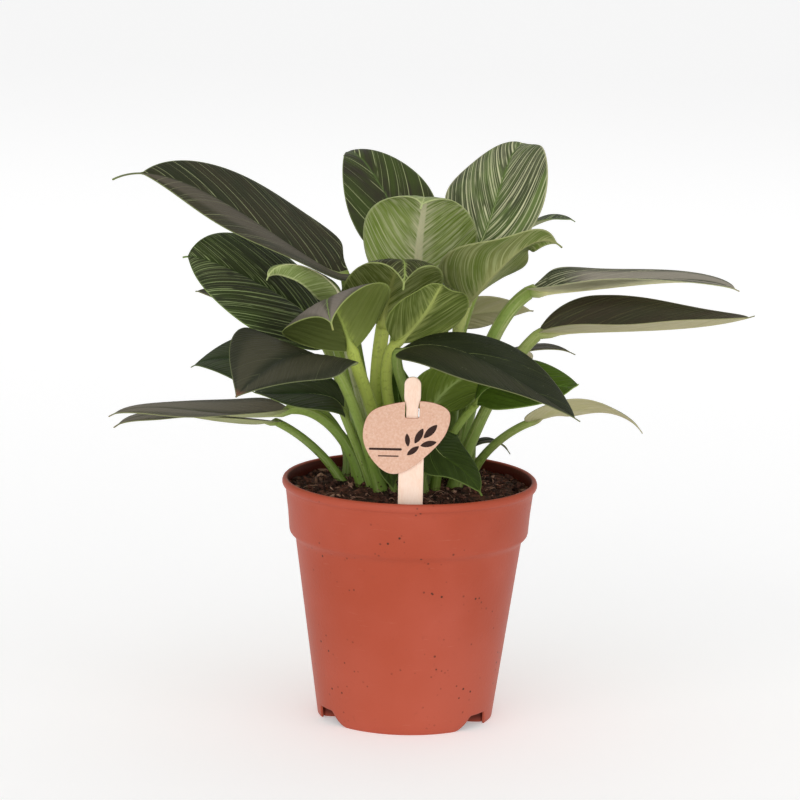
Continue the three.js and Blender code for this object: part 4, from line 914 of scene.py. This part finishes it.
def make_leaf(name, leaf, seed, form_mesh, form):
    look = COMMON_LOOK | LOOKS[leaf["look"]]
    mesh = form_mesh.copy()
    mesh.name = name + "_grown"
    on_blade = form[:, 2] < 1
    blade, stalk = form[on_blade], form[~on_blade] - (0, 0, STALK_SHIFT)

    even = (blade[:, 1] + 1) / 2
    run = 0.5 * even + 0.25 * (1 - np.cos(math.pi * even))
    cross = np.sign(blade[:, 0]) * np.abs(blade[:, 0]) ** COLUMN_CROWDING
    cross = np.where(np.abs(cross) < 1e-6, 1e-6, cross)
    upper = blade[:, 2] > -0.5
    middle, up = blade_surface(leaf, run, cross)
    width = half_width(leaf, run)
    length = travelled(bezier(leaf["handles"], np.linspace(0, 1, 40)))[-1]
    from_rib, rim = np.abs(cross) * width, (1 - np.abs(cross)) * width
    vein = run * length - (look["lean"] + VEIN_LEAN_GAIN * run) * from_rib - VEIN_BEND * from_rib ** 2
    quilt = QUILT_HEIGHT * np.sin(FULL_TURN * vein / QUILT_PITCH)
    quilt = quilt * np.clip(from_rib / QUILT_RIB_MARGIN, 0, 1) * np.clip(rim / QUILT_RIM_MARGIN, 0, 1)
    groove = GROOVE_DEPTH * bell(from_rib, GROOVE_HALF_WIDTH) * (1 - 0.7 * run)
    ridge = RIB_HEIGHT * bell(from_rib, RIB_HALF_WIDTH) * (1 - 0.8 * run)
    thick = np.minimum(BLADE_HALF_THICKNESS, RIM_HALF_THICKNESS + rim * RIM_TAPER)
    lift = np.where(upper, thick + quilt - groove, quilt - thick - ridge)
    path, radii = stalk_line(leaf)
    tube, ring, turn = along_path(stalk, path, radii, STALK_RINGS)
    lengths = travelled(path)

    def whole(blade_values, stalk_values):
        values = np.empty((len(form), *np.shape(stalk_values)[1:]))
        values[on_blade], values[~on_blade] = blade_values, stalk_values
        return values

    set_places(mesh, whole(middle + up * lift[:, None], tube))
    set_values(mesh, {
        "along": whole(run, lengths[ring] / lengths[-1]), "rib_mm": whole(cross * width, 0),
        "rim_mm": whole(rim, 9), "vein_mm": whole(vein, 0), "upper": whole(upper, 0),
        "run_mm": whole(run, lengths[ring]), "turn": whole(0, turn),
        "ridge": whole(0, np.clip((ring / STALK_RINGS - STALK_SHARE) / 0.03, 0, 1))})
    spots = LEFT_SPOTS if leaf["stalk"][0][0] < LEFT_OF_CLUMP else OTHER_SPOTS
    stalk_colours = (*look["stalk"], look["under_rib"], look["under_rib"])
    skins = [leaf_material(name + "_blade", look, seed * 1.7),
             stalk_material(name + "_stalk", stalk_colours, spots, seed * 2.3)]
    slot = next(part["material_slot"] for part in frame["record"]["subparts"] if part["node"] == name)
    add_piece(name + "_grown", mesh, skins, name)


def make_leaves():
    form_mesh = make_leaf_form()
    form = get_places(form_mesh)
    for number, (name, leaf) in enumerate(LEAVES.items()):
        shaped = leaf | {"handles": handles_through(leaf["rib"]), "phase": WAVE_LEAF_SHIFT * number}
        make_leaf(name, shaped, number + 1, form_mesh, form)
    bpy.data.meshes.remove(form_mesh)


make_leaves()


# Camera
def make_camera():
    elevation, roll = math.radians(CAMERA_ELEVATION), math.radians(CAMERA_ROLL)
    forward = Vector((0, math.cos(elevation), -math.sin(elevation)))
    flat = Vector((1, 0, 0))
    upright = Vector((0, math.sin(elevation), math.cos(elevation)))
    right = flat * math.cos(roll) + upright * math.sin(roll)
    above = upright * math.cos(roll) - flat * math.sin(roll)
    target = TO_METRES @ Vector(CAMERA_TARGET)
    data = bpy.data.cameras.new("camera")
    data.lens = CAMERA_LENS
    data.sensor_width = CAMERA_SENSOR
    data.clip_start = 0.01
    camera = add_object("camera", data)
    turn = Matrix((right, above, -forward)).transposed()
    camera.matrix_world = Matrix.Translation(target - forward * CAMERA_DISTANCE * MM) @ turn.to_4x4()
    bpy.context.scene.camera = camera


make_camera()


# Light and floor
def make_light(name, kind, place, strength, **settings):
    data = bpy.data.lights.new(name, kind)
    data.energy = strength
    for key, value in settings.items():
        setattr(data, key, value)
    light = add_object(name, data)
    light.location = place
    light.rotation_euler = (Vector(LIGHT_TARGET) - Vector(place)).to_track_quat("-Z", "Y").to_euler()


def make_studio():
    scene = bpy.context.scene
    scene.view_settings.view_transform = "Standard"
    for name, (place, strength, softness) in SUNS.items():
        make_light(name, "SUN", place, strength, angle=math.radians(softness))
    make_light("panel_behind", "AREA", PANEL_PLACE, PANEL_POWER, shape="RECTANGLE", size=PANEL_SIZE[0],
               size_y=PANEL_SIZE[1])
    scene.world = bpy.data.worlds.new("studio")
    scene.world.use_nodes = True
    background = scene.world.node_tree.nodes["Background"].inputs
    background["Color"].default_value = WHITE
    background["Strength"].default_value = WORLD_STRENGTH

    bm = bmesh.new()
    bmesh.ops.create_grid(bm, x_segments=1, y_segments=1, size=FLOOR_HALF_SIZE)
    mesh = finished_mesh(bm, "floor")
    material, _, shader = new_material("pale_floor", 0.1)
    for key, value in (("Base Color", FLOOR_COLOUR), ("Roughness", 0.95), ("Emission Color", WHITE),
                       ("Emission Strength", FLOOR_GLOW)):
        shader[key].default_value = value
    mesh.materials.append(material)
    add_object("floor", mesh)


make_studio()


# Pot
def outer_radius(height):
    return FOOT_RADIUS + (STEP_RADIUS - FOOT_RADIUS) * height / STEP_HEIGHT


def share_between(value, start, end):
    return min(max((value - start) / (end - start), 0), 1)


def notch_at(angle):
    """How far the foot's edge is lifted at an angle from the front, and how far the base stands back."""
    notch = min(NOTCH_ANGLES, key=lambda one: abs((angle - one + 180) % 360 - 180))
    across = math.radians(abs((angle - notch + 180) % 360 - 180)) * FOOT_RADIUS
    half_foot = NOTCH_FRONT_HALF_WIDTH if abs(angle) < abs(notch) else NOTCH_REAR_HALF_WIDTH
    lift = NOTCH_HEIGHT * share_between(across, half_foot, NOTCH_TOP_HALF_WIDTH) ** 2
    pocket_edge = half_foot + POCKET_MARGIN
    return lift, POCKET_DEPTH * share_between(across, pocket_edge, pocket_edge - POCKET_SLOPE_WIDTH)


def pot_profile():
    """The shell's section from its underside round to its floor, each point with how far it lies within the
    shell, which is also the strength of its painted shade.
    """
    floor_top = FLOOR_UNDERSIDE + FLOOR_THICKNESS
    skirt, lip_foot = outer_radius(FLOOR_UNDERSIDE) - WALL, POT_HEIGHT - LIP_HEIGHT
    middle_radius, middle_height = BAND_MIDDLE
    base = [(0, BASE_HEIGHT), (BASE_RADIUS - 1, BASE_HEIGHT), (BASE_RADIUS - 0.3, BASE_HEIGHT + 0.3),
            (BASE_RADIUS - 0.1, BASE_HEIGHT + 1.1), (BASE_RADIUS, BASE_HEIGHT + 3),
            (BASE_RADIUS + 0.3, FLOOR_UNDERSIDE - 0.7)]
    foot = [(skirt - 0.7, FLOOR_UNDERSIDE), (skirt - 0.4, FLOOR_UNDERSIDE), (skirt - 0.2, FLOOR_UNDERSIDE - 0.4),
            (outer_radius(4) - WALL, 4), (FOOT_RADIUS - WALL, 0.25), (FOOT_RADIUS - WALL + 0.3, 0),
            (FOOT_RADIUS - 0.35, 0), (outer_radius(0.4), 0.4), (outer_radius(4), 4)]
    wall = [(outer_radius(z), z) for z in (FLOOR_UNDERSIDE + 0.1, 15, 25, 40, 55, 70, 80, STEP_HEIGHT - 0.5)]
    step = [(STEP_RADIUS + 0.15, STEP_HEIGHT + 0.4), (STEP_RADIUS + 0.7, STEP_HEIGHT + 1.4),
            (BAND_FOOT_RADIUS - 0.7, BAND_FOOT_HEIGHT - 1.1), (BAND_FOOT_RADIUS - 0.2, BAND_FOOT_HEIGHT - 0.4),
            (BAND_FOOT_RADIUS + 0.1, BAND_FOOT_HEIGHT + 0.7), (middle_radius, middle_height),
            (BAND_TOP_RADIUS - 0.3, 107), (BAND_TOP_RADIUS, lip_foot - 0.3)]
    lip = [(BAND_TOP_RADIUS + 0.5, lip_foot + 0.3), (RIM_RADIUS - 0.4, lip_foot + 0.8),
           (RIM_RADIUS, lip_foot + 1.8), (RIM_RADIUS, POT_HEIGHT - 1.7), (RIM_RADIUS - 0.35, POT_HEIGHT - 0.7),
           (RIM_RADIUS - 1.1, POT_HEIGHT), (RIM_RADIUS - 2, POT_HEIGHT - 0.1),
           (RIM_RADIUS - 2.7, POT_HEIGHT - 0.9)]
    inside = [(BAND_TOP_RADIUS - WALL, lip_foot), (middle_radius - WALL, middle_height),
              (BAND_FOOT_RADIUS - WALL, BAND_FOOT_HEIGHT), (STEP_RADIUS - WALL, STEP_HEIGHT),
              (outer_radius(floor_top) - WALL, floor_top), (0, floor_top)]
    groups = ((base[:3], 0.35), (base[3:4], 0.6), (base[4:] + foot[:3], 1),
              (foot[3:] + wall + step + lip[:-1], 0), (lip[-1:] + inside, 1))
    return [(*point, depth) for points, depth in groups for point in points]


def make_pot_material():
    material, n, shader = new_material("thin_pot_plastic", 0.15)
    place, paint = n.place(), colours(POT_COLOURS)
    above_floor = n.values("ShaderNodeSeparateXYZ", {"Vector": place})["Z"]
    broad = n.noise(place, 14.0, 3.0, 0.55)
    body = n.mix(broad.step(0.35, 0.65), paint["ground"], paint["second"])
    # Paler towards the bottom of the pot
    body = body.mix(above_floor.step(0.0, 0.07, 0.3, 0.0), paint["foot"])
    scuffs = n.noise(n.squeezed(place, 1.0, 1.0, 9.0), 80.0, 5.0, 0.7).step(0.6, 0.78, 0.0, 0.2)
    body = body.mix(scuffs, paint["scuff"])
    body = body.mix(n.noise(place, 240.0, 4.0, 0.7).step(0.6, 0.75, 0.0, 0.25), paint["dull"])
    specks = n.spots(place, 260.0, 0.08, 0.2) * n.noise(place, 42.0, 3.0, 0.7).step(0.51, 0.62)
    # The shell's inner faces, its underside and the foot's pockets take painted shade, a dark red-brown, as
    # strong as each point's depth
    body = body.mix(specks, paint["speck"]).mix(n.attribute("inside"), paint["inside"])
    height = broad.scaled(2.0, n.noise(place, 700.0, 3.0, 0.6))
    n.finish(shader, body, broad.scaled(0.2, 0.34), height, 0.00012)
    return material


def make_pot():
    profile = pot_profile()
    bm = spun_shell([(0, -radius, height) for radius, height, _ in profile], POT_SIDES)
    depths = {(round(radius, 2), round(height, 2)): depth for radius, height, depth in profile}
    skirt = outer_radius(FLOOR_UNDERSIDE) - WALL
    inside = []
    for vert in bm.verts:
        x, y, z = vert.co
        radius = math.hypot(x, y)
        inside.append(depths[round(radius, 2), round(z, 2)])
        lift, pocket = notch_at(math.degrees(math.atan2(x, -y)))
        if z >= NOTCH_ZONE_TOP:
            continue
        if inside[-1] and 1 < radius < skirt:
            vert.co = (x * (1 - pocket / radius), y * (1 - pocket / radius), z)
        elif not inside[-1]:
            raised = z + lift * (1 - z / FLOOR_UNDERSIDE)
            grown = 1 + (outer_radius(raised) - outer_radius(z)) / radius
            vert.co = (x * grown, y * grown, raised)
    mesh = make_mesh(bm, "pot_shell")
    set_values(mesh, {"inside": inside})
    add_piece("pot_shell", mesh, [make_pot_material()], "pot")


make_pot()


# Soil
def soil_height(radius):
    share = min(radius / SOIL_FLAT_RADIUS, 1)
    return SOIL_MIDDLE_HEIGHT + (SOIL_EDGE_HEIGHT - SOIL_MIDDLE_HEIGHT) * share ** 2


def make_soil_material():
    material, n, shader = new_material("peat", 0.25)
    place, paint = n.place(), colours(SOIL_COLOURS)
    grain = n.noise(place, 420.0, 5.0, 0.7)
    body = n.mix(grain.step(0.35, 0.7), paint["dark"], paint["light"])
    # Dark patches at random places: painted shade of hollows between the crumbs
    body = body.mix(n.noise(place, 150.0, 4.0, 0.65).step(0.42, 0.56, 0.75, 0.0), paint["hollow_shade"])
    body = body.mix(n.attribute("tone").step(0.72, 0.98, 0.0, 0.85), paint["fibre"])
    n.finish(shader, body, 0.9, grain, 0.0006)
    return material


def make_soil_bed():
    radii = [SOIL_RADIUS * ring / SOIL_RINGS for ring in range(SOIL_RINGS + 1)]
    profile = [(radius, 0, soil_height(radius)) for radius in radii]
    bm = spun_shell(profile + [(SOIL_RADIUS - 1.6, 0, SOIL_BOTTOM), (0, 0, SOIL_BOTTOM)], SOIL_SIDES)
    tones = []
    for vert in bm.verts:
        x, y, z = vert.co
        clump = noise.fractal(Vector((x, y, 3.0)) * 0.16, 0.7, 2.1, 5)
        rough = clump + 0.5 * noise.noise(Vector((x, y, 8.0)) * 0.7)
        tones.append(0.3 + 0.3 * rough)
        if z > SOIL_EDGE_HEIGHT - 1:
            vert.co.z += SOIL_ROUGHNESS * rough - 0.5
    bed = make_mesh(bm, "soil_bed")
    set_values(bed, {"tone": tones})
    return bed


def spot_on_soil(draw, margin):
    turn = FULL_TURN * draw.random()
    radius = (SOIL_RADIUS - margin) * math.sqrt(draw.random())
    return Vector((radius * math.cos(turn), radius * math.sin(turn), soil_height(radius)))


def drawn(draw, least, spread, power=1):
    return least + spread * draw.random() ** power


def add_crumb(bm, draw, tone):
    centre = spot_on_soil(draw, CRUMB_MARGIN)
    size = drawn(draw, *CRUMB_SIZE, 4)
    centre.z += 0.3 * size
    turn = Matrix.Rotation(FULL_TURN * draw.random(), 4, Vector((draw.random(), draw.random(), 1)))
    stretch = Matrix.Diagonal((*(size * drawn(draw, *limits) for limits in CRUMB_STRETCH), 1))
    made = bmesh.ops.create_icosphere(bm, subdivisions=1, radius=1,
                                      matrix=Matrix.Translation(centre) @ turn @ stretch)["verts"]
    shade = draw.random()
    for vert in made:
        vert.co += (vert.co - centre) * 0.9 * noise.noise(vert.co * (1.1 / size))
        vert[tone] = shade


def add_fibre(bm, draw, tone):
    centre = spot_on_soil(draw, FIBRE_MARGIN)
    heading = FULL_TURN * draw.random()
    length = drawn(draw, *FIBRE_LENGTH, 2)
    bend = FIBRE_BEND * (draw.random() - 0.5)
    thick, lift = drawn(draw, *FIBRE_RADIUS), drawn(draw, *FIBRE_LIFT)
    earlier = len(bm.verts)
    made = bmesh.ops.create_cone(bm, cap_ends=True, segments=4, radius1=thick, radius2=thick * 0.5,
                                 depth=length, matrix=Matrix.Rotation(math.pi / 2, 4, "Y"))["verts"]
    sides = {edge for vert in made for edge in vert.link_edges
             if abs(edge.verts[0].co.x - edge.verts[1].co.x) > length / 2}
    bmesh.ops.subdivide_edges(bm, edges=list(sides), cuts=4)
    bm.verts.ensure_lookup_table()
    shade = drawn(draw, *FIBRE_TONE)
    for vert in bm.verts[earlier:]:
        share = vert.co.x / length
        turn = Matrix.Rotation(heading + bend * share, 3, "Z")
        vert.co = centre + turn @ vert.co + Vector((0, 0, lift * (1 - (2 * share) ** 2) + thick))
        vert[tone] = shade


def make_soil_loose():
    """Crumbs and bits of fibre that lie on the bed, each one closed and with its own tone."""
    draw = random.Random(CRUMB_SEED)
    bm = bmesh.new()
    tone = bm.verts.layers.float.new("tone")
    for add, count in ((add_crumb, CRUMB_COUNT), (add_fibre, FIBRE_COUNT)):
        for _ in range(count):
            add(bm, draw, tone)
    return make_mesh(bm, "soil_loose")


def make_soil():
    peat = make_soil_material()
    for name, mesh in (("soil_bed", make_soil_bed()), ("soil_loose", make_soil_loose())):
        add_piece(name, mesh, [peat], "soil")


make_soil()


# Short stem with old leaf scars
def make_stem():
    bm = bmesh.new()
    tube_form(bm, STEM_SIDES, STEM_RINGS, 0)
    for face in bm.faces:
        face.smooth = True
    mesh = finished_mesh(bm, "stem_left_scarred")
    run = np.linspace(0, 1, STEM_RINGS + 1)
    path = bezier(handles_through(STEM_POINTS), run)
    scars = sum(bell(run - place, 0.012) for place in SCAR_PLACES)
    radii = STEM_RADIUS - 0.5 * run + 0.18 * scars - 2.2 * np.clip((run - 0.93) / 0.07, 0, 1) ** 2
    places, ring, turn = along_path(get_places(mesh), path, radii, STEM_RINGS)
    set_places(mesh, places)
    set_values(mesh, {"along": run[ring], "run_mm": run[ring] * STEM_LENGTH, "turn": turn, "ridge": 0 * turn})
    skin = stalk_material("old_stem", STEM_COLOURS, 1.0, 5.0)
    add_piece("stem_left_scarred", mesh, [skin], "stem_left")


make_stem()


# Stick and tag
def thicken(bm, faces, thickness):
    """Turns flat faces into closed plates that reach back along Y."""
    back = bmesh.ops.extrude_face_region(bm, geom=faces, use_keep_orig=True)
    bmesh.ops.translate(bm, verts=new_points(back), vec=(0, thickness, 0))
    bmesh.ops.recalc_face_normals(bm, faces=bm.faces)


def make_plate(outline, middle, thickness, rounding):
    """A flat piece drawn by its outline in X and Z, as thick as given along Y, with rounded edges."""
    bm = bmesh.new()
    face = bm.faces.new([bm.verts.new((x, middle - thickness / 2, z)) for x, z in outline])
    thicken(bm, [face], thickness)
    rims = [edge for edge in bm.edges if abs(edge.verts[0].co.y - edge.verts[1].co.y) < 1e-6]
    bmesh.ops.bevel(bm, geom=rims, offset=rounding, offset_type="OFFSET", segments=2, profile=0.5,
                    affect="EDGES", material=-1)
    return bm


def arc(x, z, radius, first, last, steps):
    turns = [math.radians(first + (last - first) * step / steps) for step in range(steps + 1)]
    return [(x + radius * math.cos(turn), z + radius * math.sin(turn)) for turn in turns]


def stick_outline():
    """The right half's outline from the foot to the top of the head, then its mirror image."""
    foot, neck, head = STICK_HALF_WIDTH, NECK_HALF_WIDTH, HEAD_HALF_WIDTH
    half = [(foot, STICK_BOTTOM), *arc(foot - 2, STICK_SHOULDER - 2, 2, 0, 70, 6), (neck, STICK_SHOULDER + 1)]
    for step in range(9):
        share = step / 8
        half.append((neck + (head - neck) * share ** 2 * (3 - 2 * share), NECK_TOP - 3 + 5 * share))
    half += arc(0, HEAD_TOP - head, head, 0, 90, 14)
    return [(STICK_X + x, z) for x, z in half + [(-x, z) for x, z in reversed(half[:-1])]]


def tag_outline():
    """The tag's closed curve, opened at the top by the slot for the stick's neck."""
    count = len(TAG_OUTLINE)
    curve = []
    for index in range(count):
        a, b, c, d = (np.array(TAG_OUTLINE[(index + shift) % count], float) for shift in (-1, 0, 1, 2))
        for step in range(TAG_CURVE_STEPS):
            t = step / TAG_CURVE_STEPS
            curve.append(tuple(0.5 * (2 * b + (c - a) * t + (2 * a - 5 * b + 4 * c - d) * t ** 2
                                      + (3 * b - a - 3 * c + d) * t ** 3)))
    in_slot = [abs(x - STICK_X) < SLOT_HALF_WIDTH and z > SLOT_BOTTOM for x, z in curve]
    first = next(i for i in range(len(curve)) if in_slot[i] and not in_slot[i - 1])
    order = [(first + i) % len(curve) for i in range(len(curve))]
    left, right = STICK_X - SLOT_HALF_WIDTH, STICK_X + SLOT_HALF_WIDTH
    slot = [(left, SLOT_TOPS[0]), *arc(left + 1, SLOT_BOTTOM + 1, 1, 180, 270, 5),
            *arc(right - 1, SLOT_BOTTOM + 1, 1, 270, 360, 5), (right, SLOT_TOPS[1])]
    return slot + [curve[i] for i in order if not in_slot[i]]


def make_wood_material():
    material, n, shader = new_material("pale_wood", 0.3)
    place, paint = n.place(), colours(WOOD_COLOURS)
    grain = n.noise(n.squeezed(place, 1.0, 1.0, 0.3), 1500.0, 4.0, 0.6)
    broad = n.noise(n.squeezed(place, 1.0, 1.0, 0.2), 160.0, 2.0)
    body = n.mix(grain.step(0.35, 0.7), paint["ground"], paint["grain"])
    n.finish(shader, body.mix(broad.step(0.4, 0.7, 0.0, 0.4), paint["pale"]), 0.75, grain, 0.00005)
    return material


def make_card_material(name):
    material, n, shader = new_material(name, 0.3)
    place, paint = n.place(), colours(CARD_COLOURS[name])
    fibre = n.noise(place, 900.0, 4.0, 0.7)
    body = n.mix(fibre.step(0.35, 0.7), paint["ground"], paint["second"])
    flecks = n.spots(place, 800.0, 0.12, 0.3) * n.noise(place, 300.0).step(0.5, 0.65, 0.0, 0.4)
    n.finish(shader, body.mix(flecks, paint["fleck"]), 0.8, fibre, 0.00008)
    return material


def make_print(front):
    """A generic sprig and two bars, as thin closed plates that stand a little proud of the card."""
    bm = bmesh.new()
    for x, z, lean, size in SPRIG_LEAVES:
        made = bmesh.ops.create_circle(bm, cap_ends=True, segments=28, radius=1)
        for vert in made["verts"]:
            swell = abs(vert.co.y) ** 0.6 * math.copysign(1, vert.co.y)
            vert.co = (vert.co.x * SPRIG_HALF_LENGTH * size, 0, vert.co.y * abs(swell) * SPRIG_HALF_WIDTH * size)
        turn = Matrix.Translation((x, front, z)) @ Matrix.Rotation(-math.radians(lean), 4, "Y")
        bmesh.ops.transform(bm, matrix=turn, verts=made["verts"])
    for x, z, half_length, half_height in PRINT_BARS:
        made = bmesh.ops.create_circle(bm, cap_ends=True, segments=16, radius=half_height)
        for vert in made["verts"]:
            vert.co = (x + vert.co.x + math.copysign(half_length, vert.co.x), front, z + vert.co.y)
    bmesh.ops.recalc_face_normals(bm, faces=bm.faces)
    thicken(bm, bm.faces[:], PRINT_THICKNESS)
    return make_mesh(bm, "tag_print", True)


def make_stick_and_tag():
    stick = make_plate(stick_outline(), STICK_Y, STICK_THICKNESS, STICK_ROUNDING)
    add_piece("stick_blank", make_mesh(stick, "stick", True), [make_wood_material()], "plant_stick")
    card = make_plate(tag_outline(), TAG_Y, TAG_THICKNESS, TAG_ROUNDING)
    for face in card.faces:
        face.material_index = int(abs(face.normal.y) < 0.5)
    card_face, shaded_card_edge, ink = map(make_card_material, CARD_COLOURS)
    add_piece("tag_card", make_mesh(card, "tag_card", True), [card_face, shaded_card_edge], "card_tag")
    add_piece("tag_print", make_print(TAG_Y - TAG_THICKNESS / 2 - PRINT_HEIGHT), [ink])


make_stick_and_tag()
